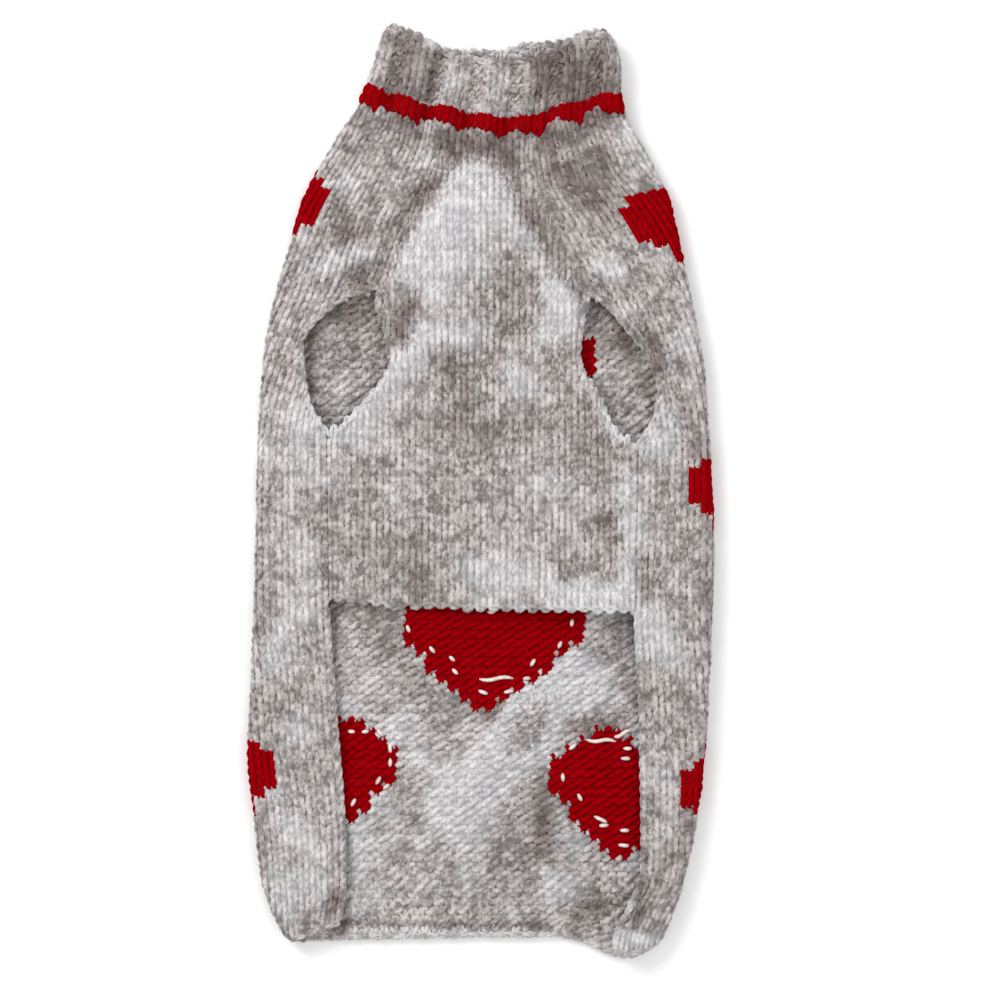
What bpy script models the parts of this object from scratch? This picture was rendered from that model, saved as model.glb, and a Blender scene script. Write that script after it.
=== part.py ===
"""Hand-knitted dog sweater, laid flat with its belly side up.

Metres, +Z up, the neck towards +Y, and the origin under the middle of the garment on the surface
that it lies on.  Three knitted pieces: the back, which wraps round both sides to the belly, the
belly piece between its edges, and the ribbed collar.
"""

import math
from collections import namedtuple

import bmesh
import bpy
import numpy as np
from mathutils import Vector

# ---- driving sizes ----------------------------------------------------------------------------
WALL = 0.0035                 # thickness of the chunky knit
SEAM_GAP = 0.0003             # between pieces that are sewn together
LAY_GAP = 0.0008              # between the two layers where they lie on each other
FOLD_RADIUS = 0.0053          # outside of the side folds
FOLD_REACH = 0.022            # how far a side fold still lifts the upper layer
FOLD_SMOOTH_REACH = 0.009     # how far from a side fold the creases have died away
NECK_Y = 0.195                # the last row before the collar, at the side folds
HEM_Y = -0.2245               # the back's hem, at its left corner
NECK_BEND_REACH = 0.060       # how far down the neckline's bow reaches
HEM_BEND_REACH = 0.038        # how far up the hem's bow reaches
BELLY_HEM_Y = -0.056          # the belly piece's hem
BELLY_HEM_REACH = 0.050       # how far up the slant of its hem reaches

RIB_COUNT = 13                # 2 x 2 ribs all round the collar
RIB_HEIGHT = 0.0019
RIB_SQUARENESS = 2.2          # 1 would be a round wave, more gives flat-topped ribs
RIB_TROUGH_AT = 0.5365        # a trough of the ribs, as a share of the way across the front
COLLAR_MOUTH_RADIUS = 0.0073  # outside of the collar's folds at its mouth
GATHER_HEIGHT = 0.0010        # the ribs run on below the collar as soft gathers
GATHER_REACH = 0.045

# ---- number of faces --------------------------------------------------------------------------
STRIP_FACES = 8
FOLD_FACES = 5
UNDER_FACES = 10
BELLY_FACES = 14
COLLAR_RINGS = 9
POINTS_PER_RIB = 6
FOLD_SAMPLES = 60
SIDE_SAMPLES = 240

# ---- tables -----------------------------------------------------------------------------------
Outline = namedtuple("Outline", "y left right")
OUTLINE = (
    Outline(-0.2245, -0.0955, 0.0850),
    Outline(-0.2210, -0.0990, 0.0895),
    Outline(-0.2135, -0.1035, 0.0940),
    Outline(-0.2060, -0.1065, 0.0970),
    Outline(-0.1910, -0.1110, 0.1020),
    Outline(-0.1610, -0.1145, 0.1085),
    Outline(-0.1310, -0.1175, 0.1125),
    Outline(-0.0935, -0.1160, 0.1150),
    Outline(-0.0260, -0.1135, 0.1172),
    Outline(0.0265, -0.1122, 0.1152),
    Outline(0.0715, -0.1092, 0.1112),
    Outline(0.1015, -0.1030, 0.1050),
    Outline(0.1240, -0.0965, 0.1005),
    Outline(0.1465, -0.0900, 0.0952),
    Outline(0.1690, -0.0780, 0.0848),
    Outline(0.1840, -0.0686, 0.0774),
    Outline(0.1915, -0.0627, 0.0740),
    Outline(0.1950, -0.0607, 0.0725),
)

# The seam between the back's strip and the belly piece.  Below the belly's hem it is the strip's
# free edge.
Seam = namedtuple("Seam", "y left right")
SEAMS = (
    Seam(-0.2245, -0.0710, 0.0660),
    Seam(-0.2185, -0.0700, 0.0665),
    Seam(-0.2060, -0.0685, 0.0705),
    Seam(-0.1910, -0.0680, 0.0780),
    Seam(-0.1785, -0.0680, 0.0805),
    Seam(-0.1035, -0.0730, 0.0795),
    Seam(-0.0560, -0.0760, 0.0770),
    Seam(0.0240, -0.0770, 0.0785),
    Seam(0.1045, -0.0480, 0.0520),
    Seam(0.1315, -0.0380, 0.0380),
    Seam(0.1565, -0.0272, 0.0265),
    Seam(0.1815, -0.0205, 0.0240),
    Seam(0.1950, -0.0190, 0.0230),
)
# The leg holes: how far the back's edge and the belly's edge stand off the seam line.
LegHole = namedtuple("LegHole", "y back belly")
LEFT_HOLE = (
    LegHole(0.0200, 0.0000, 0.0000),
    LegHole(0.0280, 0.0000, 0.0000),
    LegHole(0.0315, 0.0020, 0.0044),
    LegHole(0.0350, 0.0056, 0.0084),
    LegHole(0.0400, 0.0098, 0.0120),
    LegHole(0.0465, 0.0144, 0.0160),
    LegHole(0.0550, 0.0190, 0.0202),
    LegHole(0.0620, 0.0228, 0.0212),
    LegHole(0.0690, 0.0266, 0.0190),
    LegHole(0.0780, 0.0304, 0.0120),
    LegHole(0.0857, 0.0284, 0.0064),
    LegHole(0.0907, 0.0252, 0.0020),
    LegHole(0.0965, 0.0205, -0.0016),
    LegHole(0.1000, 0.0142, -0.0024),
    LegHole(0.1020, 0.0078, -0.0018),
    LegHole(0.1045, 0.0000, 0.0000),
    LegHole(0.1100, 0.0000, 0.0000),
)
RIGHT_HOLE = (
    LegHole(0.0160, 0.0000, 0.0000),
    LegHole(0.0210, 0.0000, 0.0000),
    LegHole(0.0250, 0.0014, 0.0040),
    LegHole(0.0295, 0.0048, 0.0096),
    LegHole(0.0365, 0.0100, 0.0134),
    LegHole(0.0445, 0.0136, 0.0150),
    LegHole(0.0535, 0.0168, 0.0174),
    LegHole(0.0600, 0.0174, 0.0192),
    LegHole(0.0665, 0.0172, 0.0186),
    LegHole(0.0725, 0.0162, 0.0160),
    LegHole(0.0805, 0.0132, 0.0118),
    LegHole(0.0865, 0.0110, 0.0080),
    LegHole(0.0915, 0.0092, 0.0048),
    LegHole(0.0975, 0.0050, 0.0008),
    LegHole(0.1015, 0.0004, 0.0000),
    LegHole(0.1045, 0.0000, 0.0000),
    LegHole(0.1100, 0.0000, 0.0000),
)

# Where the body ends at the neck and at the hem, for the upper layer and for the one underneath.
EndLine = namedtuple("EndLine", "x upper under")
NECKLINE = (
    EndLine(-0.0605, 0.1950, 0.1950),
    EndLine(-0.0305, 0.1865, 0.1920),
    EndLine(-0.0125, 0.1840, 0.1910),
    EndLine(0.0120, 0.1785, 0.1905),
    EndLine(0.0405, 0.1850, 0.1905),
    EndLine(0.0725, 0.1920, 0.1920),
)
HEMLINE = (
    EndLine(-0.0955, -0.2245, -0.2245),
    EndLine(-0.0700, -0.2160, -0.2235),
    EndLine(0.0395, -0.2200, -0.2220),
    EndLine(0.0490, -0.2240, -0.2240),
    EndLine(0.0665, -0.2295, -0.2310),
    EndLine(0.0735, -0.2310, -0.2325),
    EndLine(0.0850, -0.2285, -0.2285),
)
MOUTHLINE = (
    EndLine(-0.0475, 0.2305, 0.2310),
    EndLine(-0.0440, 0.2320, 0.2325),
    EndLine(-0.0355, 0.2295, 0.2300),
    EndLine(-0.0255, 0.2240, 0.2250),
    EndLine(-0.0165, 0.2195, 0.2210),
    EndLine(0.0095, 0.2150, 0.2205),
    EndLine(0.0245, 0.2165, 0.2245),
    EndLine(0.0380, 0.2210, 0.2250),
    EndLine(0.0470, 0.2260, 0.2275),
    EndLine(0.0560, 0.2297, 0.2302),
    EndLine(0.0610, 0.2293, 0.2297),
    EndLine(0.0650, 0.2270, 0.2275),
)
BellyHem = namedtuple("BellyHem", "x y")
BELLY_HEM = (
    BellyHem(-0.0760, -0.0520),
    BellyHem(-0.0400, -0.0560),
    BellyHem(0.0770, -0.0590),
)

# Sides of the collar, from the stripe at its base (rise 0) to its mouth (rise 1).
CollarSide = namedtuple("CollarSide", "rise left right")
COLLAR_SIDES = (
    CollarSide(0.00, -0.0607, 0.0725),
    CollarSide(0.15, -0.0585, 0.0708),
    CollarSide(0.30, -0.0560, 0.0697),
    CollarSide(0.55, -0.0530, 0.0695),
    CollarSide(0.75, -0.0508, 0.0685),
    CollarSide(0.92, -0.0490, 0.0665),
    CollarSide(1.00, -0.0475, 0.0650),
)
# How high the upper side of the collar stands at its mouth, across its width (0 left, 1 right).
MouthHeight = namedtuple("MouthHeight", "across z")
MOUTH_HEIGHTS = (
    MouthHeight(0.00, 0.0146),
    MouthHeight(0.17, 0.0168),
    MouthHeight(0.37, 0.0144),
    MouthHeight(0.55, 0.0158),
    MouthHeight(0.70, 0.0143),
    MouthHeight(0.86, 0.0170),
    MouthHeight(1.00, 0.0146),
)

# Soft ridges (+) and troughs (-) of the upper layer, each along a line.
Crease = namedtuple("Crease", "name x0 y0 x1 y1 width height")
CREASES = (
    Crease("chest puff", -0.008, 0.152, -0.014, 0.098, 0.0290, 0.0040),
    Crease("left chest seam", -0.022, 0.176, -0.046, 0.108, 0.0036, -0.0013),
    Crease("right chest seam", 0.025, 0.172, 0.050, 0.108, 0.0036, -0.0013),
    Crease("left lower seam", -0.077, 0.024, -0.076, -0.054, 0.0030, -0.0009),
    Crease("right lower seam", 0.078, 0.018, 0.077, -0.056, 0.0030, -0.0007),
    Crease("left leg hole, inner slope", -0.046, 0.096, -0.045, 0.072, 0.0080, -0.0016),
    Crease("left leg hole, rolled edge", -0.023, 0.048, -0.068, 0.024, 0.0085, 0.0022),
    Crease("right leg hole, rolled edge", 0.056, 0.050, 0.078, 0.022, 0.0065, 0.0020),
    Crease("right leg hole, upper edge", 0.047, 0.104, 0.046, 0.080, 0.0060, 0.0014),
    Crease("left shoulder", -0.048, 0.168, -0.072, 0.118, 0.0120, 0.0012),
    Crease("right shoulder", 0.052, 0.166, 0.080, 0.100, 0.0110, 0.0014),
    Crease("belly, long wave", 0.018, 0.022, 0.022, -0.040, 0.0190, 0.0012),
    Crease("belly, left wave", -0.058, -0.004, -0.036, -0.034, 0.0130, 0.0009),
    Crease("right hip", 0.092, 0.006, 0.078, -0.070, 0.0120, 0.0010),
    Crease("left strip", -0.094, -0.060, -0.088, -0.180, 0.0110, 0.0008),
    Crease("right strip, turned edge", 0.072, -0.182, 0.067, -0.216, 0.0045, 0.0020),
)

# Rows of knitting that carry the form: from one height to the next in so many steps.
Zone = namedtuple("Zone", "top bottom steps")
ZONES = (
    Zone(0.1950, 0.1045, 11),
    Zone(0.1045, 0.0960, 4),
    Zone(0.0960, 0.0200, 13),
    Zone(0.0200, -0.0560, 6),
    Zone(-0.0560, -0.1785, 9),
    Zone(-0.1785, -0.2245, 7),
)

# ---- finishes: colour, roughness --------------------------------------------------------------
GREY_MARL = (0.53, 0.50, 0.48)
WOOL_ROUGHNESS = 0.95
SHARP_EDGE = math.radians(50.0)  # edges sharper than this keep their corner


def curve(rows, column):
    """A smooth curve through a table: one column as a function of the first, without overshoot."""
    place = np.array([row[0] for row in rows])
    value = np.array([getattr(row, column) for row in rows])
    step = np.diff(place)
    rise = np.diff(value) / step
    slope = np.empty(len(place))
    slope[0] = rise[0]
    slope[-1] = rise[-1]
    for k in range(1, len(place) - 1):
        same_way = rise[k - 1] * rise[k] > 0.0
        slope[k] = 2.0 * rise[k - 1] * rise[k] / (rise[k - 1] + rise[k]) if same_way else 0.0

    def at(where):
        where = min(max(where, place[0]), place[-1])
        k = min(int(np.searchsorted(place, where, side="right")) - 1, len(step) - 1)
        f = (where - place[k]) / step[k]
        start = value[k] * (1.0 + 2.0 * f) + slope[k] * step[k] * f
        end = value[k + 1] * (3.0 - 2.0 * f) - slope[k + 1] * step[k] * (1.0 - f)
        return float(start * (1.0 - f) ** 2 + end * f ** 2)

    return at


left_side = curve(OUTLINE, "left")
right_side = curve(OUTLINE, "right")
left_seam = curve(SEAMS, "left")
right_seam = curve(SEAMS, "right")
left_hole_back = curve(LEFT_HOLE, "back")
left_hole_belly = curve(LEFT_HOLE, "belly")
right_hole_back = curve(RIGHT_HOLE, "back")
right_hole_belly = curve(RIGHT_HOLE, "belly")
neck_upper = curve(NECKLINE, "upper")
neck_under = curve(NECKLINE, "under")
hem_upper = curve(HEMLINE, "upper")
hem_under = curve(HEMLINE, "under")
mouth_upper = curve(MOUTHLINE, "upper")
mouth_under = curve(MOUTHLINE, "under")
belly_hem = curve(BELLY_HEM, "y")
collar_left = curve(COLLAR_SIDES, "left")
collar_right = curve(COLLAR_SIDES, "right")
mouth_height = curve(MOUTH_HEIGHTS, "z")


def blend(a, b, share):
    return a + (b - a) * share


def ease(share):
    """0 to 1 with a flat start and end."""
    share = min(max(share, 0.0), 1.0)
    return share * share * (3.0 - 2.0 * share)


def bell(distance, width):
    return math.exp(-(distance / width) ** 2)


def row_heights():
    """The y of each row of faces, from the neck to the hem."""
    heights = [ZONES[0].top]
    for zone in ZONES:
        for k in range(1, zone.steps + 1):
            heights.append(blend(zone.top, zone.bottom, k / zone.steps))
    return heights


def crease_height(x, y):
    """All soft ridges and troughs at one place, each falling off from its line."""
    total = 0.0
    for crease in CREASES:
        along_x = crease.x1 - crease.x0
        along_y = crease.y1 - crease.y0
        share = (x - crease.x0) * along_x + (y - crease.y0) * along_y
        share = min(max(share / (along_x ** 2 + along_y ** 2), 0.0), 1.0)
        off = math.hypot(x - crease.x0 - share * along_x, y - crease.y0 - share * along_y)
        total += crease.height * bell(off, crease.width)
    return total


def rib_wave(across):
    """The ribs over the front, 1 on a crest and -1 in a trough."""
    return -math.cos(math.pi * RIB_COUNT * (across - RIB_TROUGH_AT))


def top_height(x, y):
    """Outside of the upper layer: lies on the layer below, lifted at the folds and creases."""
    left = left_side(y) + FOLD_RADIUS
    right = right_side(y) - FOLD_RADIUS
    lying = 2.0 * WALL + LAY_GAP
    lift = (2.0 * FOLD_RADIUS - lying) * (bell(x - left, FOLD_REACH) + bell(x - right, FOLD_REACH))
    inside = 1.0 - bell(x - left, FOLD_SMOOTH_REACH) - bell(x - right, FOLD_SMOOTH_REACH)
    gather = rib_wave((x - left) / (right - left)) * GATHER_HEIGHT
    gather *= ease(1.0 - (NECK_Y - y) / GATHER_REACH)
    height = lying + lift + inside * (crease_height(x, y) + gather)
    return max(height, 2.0 * WALL + SEAM_GAP)


def bowed(x, y, upper):
    """The y of a point once the rows near the neck and the hem follow their bowed ends."""
    neck = blend(neck_under(x), neck_upper(x), upper)
    hem = blend(hem_under(x), hem_upper(x), upper)
    y_new = y + (neck - NECK_Y) * ease(1.0 - (NECK_Y - y) / NECK_BEND_REACH)
    return y_new + (hem - HEM_Y) * ease(1.0 - (y - HEM_Y) / HEM_BEND_REACH)


def back_row(y, depth):
    """One row of the back: left strip, left fold, underside, right fold, right strip.

    The depth is measured inwards from the outside of the knit.
    """
    left = left_side(y) + FOLD_RADIUS
    right = right_side(y) - FOLD_RADIUS
    strip_end_left = left_seam(y) - left_hole_back(y) - 0.5 * SEAM_GAP
    strip_end_right = right_seam(y) + right_hole_back(y) + 0.5 * SEAM_GAP
    radius = FOLD_RADIUS - depth
    row = []
    for k in range(STRIP_FACES):
        x = blend(strip_end_left, left, k / STRIP_FACES)
        row.append(Vector((x, bowed(x, y, 1.0), top_height(x, y) - depth)))
    for k in range(FOLD_FACES):
        turn = math.pi * k / FOLD_FACES
        x = left - radius * math.sin(turn)
        z = FOLD_RADIUS + radius * math.cos(turn)
        row.append(Vector((x, bowed(x, y, 0.5 + 0.5 * math.cos(turn)), z)))
    for k in range(UNDER_FACES):
        x = blend(left, right, k / UNDER_FACES)
        row.append(Vector((x, bowed(x, y, 0.0), depth)))
    for k in range(FOLD_FACES):
        turn = math.pi * k / FOLD_FACES
        x = right + radius * math.sin(turn)
        z = FOLD_RADIUS - radius * math.cos(turn)
        row.append(Vector((x, bowed(x, y, 0.5 - 0.5 * math.cos(turn)), z)))
    for k in range(STRIP_FACES + 1):
        x = blend(right, strip_end_right, k / STRIP_FACES)
        row.append(Vector((x, bowed(x, y, 1.0), top_height(x, y) - depth)))
    return row


def belly_row(y, depth):
    """One row of the belly piece, from its right edge to its left edge."""
    left = left_seam(y) + left_hole_belly(y) + 0.5 * SEAM_GAP
    right = right_seam(y) - right_hole_belly(y) - 0.5 * SEAM_GAP
    hem_share = ease(1.0 - (y - BELLY_HEM_Y) / BELLY_HEM_REACH)
    row = []
    for k in range(BELLY_FACES + 1):
        x = blend(right, left, k / BELLY_FACES)
        y_here = bowed(x, y, 1.0) + (belly_hem(x) - BELLY_HEM_Y) * hem_share
        row.append(Vector((x, y_here, top_height(x, y) - depth)))
    return row


def collar_section(rise):
    """The collar at one height, as a closed line of evenly spaced points round its inside.

    It starts at the middle of the left fold and runs over the upper side first.  Each point is
    x, z, the outward direction in x and z, and its share of the upper layer, from 0 underneath
    to 1 on top.
    """
    radius = blend(FOLD_RADIUS, COLLAR_MOUTH_RADIUS, rise)
    inner = radius - WALL
    left = collar_left(rise) + radius
    right = collar_right(rise) - radius
    line = []
    for k in range(FOLD_SAMPLES):
        turn = 0.5 * math.pi * k / FOLD_SAMPLES
        out_x, out_z = -math.cos(turn), math.sin(turn)
        line.append((left + inner * out_x, radius + inner * out_z, out_x, out_z, ease_up(out_z)))
    for k in range(SIDE_SAMPLES):
        across = k / SIDE_SAMPLES
        x = blend(left, right, across)
        at_base = top_height(x, NECK_Y) - WALL
        z = blend(at_base, mouth_height(across) - WALL, rise)
        line.append((x, z, 0.0, 1.0, 1.0))
    for k in range(2 * FOLD_SAMPLES):
        turn = 0.5 * math.pi * k / FOLD_SAMPLES
        out_x, out_z = math.sin(turn), math.cos(turn)
        line.append((right + inner * out_x, radius + inner * out_z, out_x, out_z, ease_up(out_z)))
    for k in range(SIDE_SAMPLES):
        line.append((blend(right, left, k / SIDE_SAMPLES), WALL, 0.0, -1.0, 0.0))
    for k in range(FOLD_SAMPLES + 1):
        turn = 0.5 * math.pi * k / FOLD_SAMPLES
        out_x, out_z = -math.sin(turn), -math.cos(turn)
        line.append((left + inner * out_x, radius + inner * out_z, out_x, out_z, ease_up(out_z)))
    return evenly_spaced(np.array(line), RIB_COUNT * POINTS_PER_RIB)


def ease_up(out_z):
    """Share of the upper layer on a fold that faces this far up."""
    return 0.5 + 0.5 * out_z


def evenly_spaced(line, count):
    """So many points along a closed line, at even steps of its length on the outside."""
    steps = np.diff(line[:, 0:2] + WALL * line[:, 2:4], axis=0)
    reach = np.concatenate(([0.0], np.cumsum(np.hypot(steps[:, 0], steps[:, 1]))))
    even = np.linspace(0.0, reach[-1], count, endpoint=False)
    return np.stack([np.interp(even, reach, line[:, axis]) for axis in range(5)], axis=1)


def rib_height(index, outward_z):
    """Flat-topped ribs, two stitches up and two down, that fade away on the underside."""
    wave = math.sin(2.0 * math.pi * index / POINTS_PER_RIB)
    return RIB_HEIGHT * (0.5 + 0.5 * math.tanh(RIB_SQUARENESS * wave)) * (1.0 + min(outward_z, 0.0))


def collar_point(x, z, upper, rise):
    """A point of the collar, whose y runs from the body's neckline to the mouth."""
    across = (x - collar_left(rise)) / (collar_right(rise) - collar_left(rise))
    neck_x = blend(collar_left(0.0), collar_right(0.0), across)
    mouth_x = blend(collar_left(1.0), collar_right(1.0), across)
    base = blend(neck_under(neck_x), neck_upper(neck_x), upper) + SEAM_GAP
    mouth = blend(mouth_under(mouth_x), mouth_upper(mouth_x), upper)
    return Vector((x, blend(base, mouth, rise), max(z, 0.0)))


def collar_rings(rise):
    """The ribbed outside and the plain inside of the collar at one height."""
    outside = []
    inside = []
    for k, (x, z, out_x, out_z, upper) in enumerate(collar_section(rise)):
        depth = WALL + rib_height(k, out_z)
        outside.append(collar_point(x + depth * out_x, z + depth * out_z, upper, rise))
        inside.append(collar_point(x, z, upper, rise))
    return outside, inside


def skin(mesh, rows, closed):
    """Faces through rows of points; a closed row is a ring."""
    corners = [[mesh.verts.new(point) for point in row] for row in rows]
    for near, far in zip(corners, corners[1:]):
        bridge(mesh, near, far, closed)
    return corners


def bridge(mesh, near, far, closed):
    count = len(near)
    for k in range(count if closed else count - 1):
        after = (k + 1) % count
        mesh.faces.new((near[k], near[after], far[after], far[k]))


def wool(name, colour):
    material = bpy.data.materials.new(name)
    material.use_nodes = True
    shader = material.node_tree.nodes["Principled BSDF"]
    shader.inputs["Base Color"].default_value = (*colour, 1.0)
    shader.inputs["Roughness"].default_value = WOOL_ROUGHNESS
    shader.inputs["Metallic"].default_value = 0.0
    return material


def knitted_wall(name, outer_rows, inner_rows, closed, collection):
    """A piece of knitting as one closed solid: its outside, its inside and the edges between."""
    mesh = bmesh.new()
    outer = skin(mesh, outer_rows, closed)
    inner = skin(mesh, inner_rows, closed)
    bridge(mesh, outer[0], inner[0], closed)
    bridge(mesh, outer[-1], inner[-1], closed)
    if not closed:
        bridge(mesh, [row[0] for row in outer], [row[0] for row in inner], False)
        bridge(mesh, [row[-1] for row in outer], [row[-1] for row in inner], False)
    bmesh.ops.recalc_face_normals(mesh, faces=mesh.faces)
    data = bpy.data.meshes.new(name)
    mesh.to_mesh(data)
    mesh.free()
    data.materials.append(wool(name + "_wool", GREY_MARL))
    data.shade_smooth()
    data.set_sharp_from_angle(angle=SHARP_EDGE)
    part = bpy.data.objects.new(name, data)
    collection.objects.link(part)
    return part


def centre_on_origin(parts):
    """Slides the pieces together so that the origin lies under the middle of the garment."""
    corners = np.array([vertex.co for part in parts for vertex in part.data.vertices])
    middle = 0.5 * (corners.min(axis=0) + corners.max(axis=0))
    for part in parts:
        for vertex in part.data.vertices:
            vertex.co.x -= middle[0]
            vertex.co.y -= middle[1]


def build():
    for old in list(bpy.data.objects):
        bpy.data.objects.remove(old, do_unlink=True)
    collection = bpy.data.collections.new("dog_sweater")
    bpy.context.scene.collection.children.link(collection)

    heights = row_heights()
    belly_heights = [y for y in heights if y > BELLY_HEM_Y - SEAM_GAP]
    rings = [collar_rings(k / (COLLAR_RINGS - 1)) for k in range(COLLAR_RINGS)]
    parts = (
        knitted_wall(
            "back_panel",
            [back_row(y, 0.0) for y in heights],
            [back_row(y, WALL) for y in heights],
            False,
            collection,
        ),
        knitted_wall(
            "belly_panel",
            [belly_row(y, 0.0) for y in belly_heights],
            [belly_row(y, WALL) for y in belly_heights],
            False,
            collection,
        ),
        knitted_wall(
            "collar",
            [outside for outside, inside in rings],
            [inside for outside, inside in rings],
            True,
            collection,
        ),
    )
    centre_on_origin(parts)


build()
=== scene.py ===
"""A hand-knitted dog sweater, stitch by stitch, laid flat with its belly side up.

Metres, +Z up, the neck towards +Y.  Each knitted piece is a thin backing cloth on the form of its
solid and, over it, the courses of yarn as they are knitted, with their loops through each other.
"""

import math
from collections import namedtuple

import bpy
import numpy as np
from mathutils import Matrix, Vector


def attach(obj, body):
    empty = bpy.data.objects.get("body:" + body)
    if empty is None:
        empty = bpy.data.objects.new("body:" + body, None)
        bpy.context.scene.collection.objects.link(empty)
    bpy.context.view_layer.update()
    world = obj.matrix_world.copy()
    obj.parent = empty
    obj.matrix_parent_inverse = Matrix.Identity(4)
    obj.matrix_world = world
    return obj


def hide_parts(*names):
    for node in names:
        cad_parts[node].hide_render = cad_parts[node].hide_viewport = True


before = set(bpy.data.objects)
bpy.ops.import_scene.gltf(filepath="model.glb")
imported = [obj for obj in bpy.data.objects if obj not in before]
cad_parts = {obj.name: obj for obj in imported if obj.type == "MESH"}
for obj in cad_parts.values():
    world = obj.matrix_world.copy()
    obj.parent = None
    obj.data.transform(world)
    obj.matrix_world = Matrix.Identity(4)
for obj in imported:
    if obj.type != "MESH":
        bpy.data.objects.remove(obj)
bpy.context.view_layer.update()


def table(columns, *rows):
    """Rows of values under the names of their columns."""
    kind = namedtuple("Row", columns)
    return tuple(kind(*row) for row in rows)


# ---- sizes of the garment, as its solids have them -------------------------------------------
SHIFT = np.array([0.000111, -0.000682, 0.0])   # the tables' origin to the middle of the garment
WALL = 0.0035
LAY_GAP = 0.0008
LEAST_GAP = 0.0003           # where the upper layer sinks deepest it stays this far off
FOLD_RADIUS = 0.0053
FOLD_REACH = 0.022
FOLD_SMOOTH_REACH = 0.009
NECK_Y = 0.195
HEM_Y = -0.2245
NECK_BEND_REACH = 0.060
HEM_BEND_REACH = 0.038
BELLY_HEM_Y = -0.056
BELLY_HEM_REACH = 0.050
RIB_COUNT = 13
RIB_TROUGH_AT = 0.5365
COLLAR_MOUTH_RADIUS = 0.0073
GATHER_HEIGHT = 0.0016
GATHER_REACH = 0.045
SCALLOP = 0.0016             # the gathers lift and drop the line where the collar starts
SCALLOP_REACH = 0.020

OUTLINE = table(
    "y left right",
    (-0.2245, -0.0955, 0.0850),
    (-0.2210, -0.0990, 0.0895),
    (-0.2135, -0.1035, 0.0940),
    (-0.2060, -0.1065, 0.0970),
    (-0.1910, -0.1110, 0.1020),
    (-0.1610, -0.1145, 0.1085),
    (-0.1310, -0.1175, 0.1125),
    (-0.0935, -0.1160, 0.1150),
    (-0.0260, -0.1135, 0.1172),
    (0.0265, -0.1122, 0.1152),
    (0.0715, -0.1092, 0.1112),
    (0.1015, -0.1030, 0.1050),
    (0.1240, -0.0965, 0.1005),
    (0.1465, -0.0900, 0.0952),
    (0.1690, -0.0780, 0.0848),
    (0.1840, -0.0686, 0.0774),
    (0.1915, -0.0627, 0.0740),
    (0.1950, -0.0607, 0.0725),
)
SEAMS = table(
    "y left right",
    (-0.2245, -0.0710, 0.0660),
    (-0.2185, -0.0700, 0.0665),
    (-0.2060, -0.0685, 0.0705),
    (-0.1910, -0.0680, 0.0780),
    (-0.1785, -0.0680, 0.0805),
    (-0.1035, -0.0730, 0.0795),
    (-0.0560, -0.0760, 0.0770),
    (0.0240, -0.0770, 0.0785),
    (0.1045, -0.0480, 0.0520),
    (0.1315, -0.0380, 0.0380),
    (0.1565, -0.0272, 0.0265),
    (0.1815, -0.0205, 0.0240),
    (0.1950, -0.0190, 0.0230),
)
LEFT_HOLE = table(
    "y back belly",
    (0.0200, 0.0000, 0.0000),
    (0.0280, 0.0000, 0.0000),
    (0.0315, 0.0020, 0.0044),
    (0.0350, 0.0056, 0.0084),
    (0.0400, 0.0098, 0.0120),
    (0.0465, 0.0144, 0.0160),
    (0.0550, 0.0190, 0.0202),
    (0.0620, 0.0228, 0.0212),
    (0.0690, 0.0266, 0.0190),
    (0.0780, 0.0304, 0.0120),
    (0.0857, 0.0284, 0.0064),
    (0.0907, 0.0252, 0.0020),
    (0.0965, 0.0205, -0.0016),
    (0.1000, 0.0142, -0.0024),
    (0.1020, 0.0078, -0.0018),
    (0.1045, 0.0000, 0.0000),
    (0.1100, 0.0000, 0.0000),
)
RIGHT_HOLE = table(
    "y back belly",
    (0.0160, 0.0000, 0.0000),
    (0.0210, 0.0000, 0.0000),
    (0.0250, 0.0014, 0.0040),
    (0.0295, 0.0048, 0.0096),
    (0.0365, 0.0100, 0.0134),
    (0.0445, 0.0136, 0.0150),
    (0.0535, 0.0168, 0.0174),
    (0.0600, 0.0174, 0.0192),
    (0.0665, 0.0172, 0.0186),
    (0.0725, 0.0162, 0.0160),
    (0.0805, 0.0132, 0.0118),
    (0.0865, 0.0110, 0.0080),
    (0.0915, 0.0092, 0.0048),
    (0.0975, 0.0050, 0.0008),
    (0.1015, 0.0004, 0.0000),
    (0.1045, 0.0000, 0.0000),
    (0.1100, 0.0000, 0.0000),
)
NECKLINE = table(
    "x upper under",
    (-0.0605, 0.1950, 0.1950),
    (-0.0305, 0.1865, 0.1920),
    (-0.0125, 0.1840, 0.1910),
    (0.0020, 0.1806, 0.1908),
    (0.0100, 0.1800, 0.1905),
    (0.0200, 0.1797, 0.1905),
    (0.0405, 0.1850, 0.1905),
    (0.0725, 0.1920, 0.1920),
)
HEMLINE = table(
    "x upper under",
    (-0.0955, -0.2245, -0.2245),
    (-0.0700, -0.2160, -0.2235),
    (0.0395, -0.2200, -0.2220),
    (0.0490, -0.2240, -0.2240),
    (0.0665, -0.2295, -0.2310),
    (0.0735, -0.2310, -0.2325),
    (0.0850, -0.2285, -0.2285),
)
MOUTHLINE = table(
    "x upper under",
    (-0.0475, 0.2305, 0.2310),
    (-0.0440, 0.2320, 0.2325),
    (-0.0355, 0.2295, 0.2300),
    (-0.0255, 0.2240, 0.2250),
    (-0.0165, 0.2195, 0.2210),
    (0.0095, 0.2150, 0.2205),
    (0.0245, 0.2165, 0.2245),
    (0.0380, 0.2210, 0.2250),
    (0.0470, 0.2260, 0.2275),
    (0.0560, 0.2297, 0.2302),
    (0.0610, 0.2293, 0.2297),
    (0.0650, 0.2270, 0.2275),
)
BELLY_HEM = table(
    "x y",
    (-0.0760, -0.0520),
    (-0.0400, -0.0560),
    (0.0770, -0.0590),
)
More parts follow.
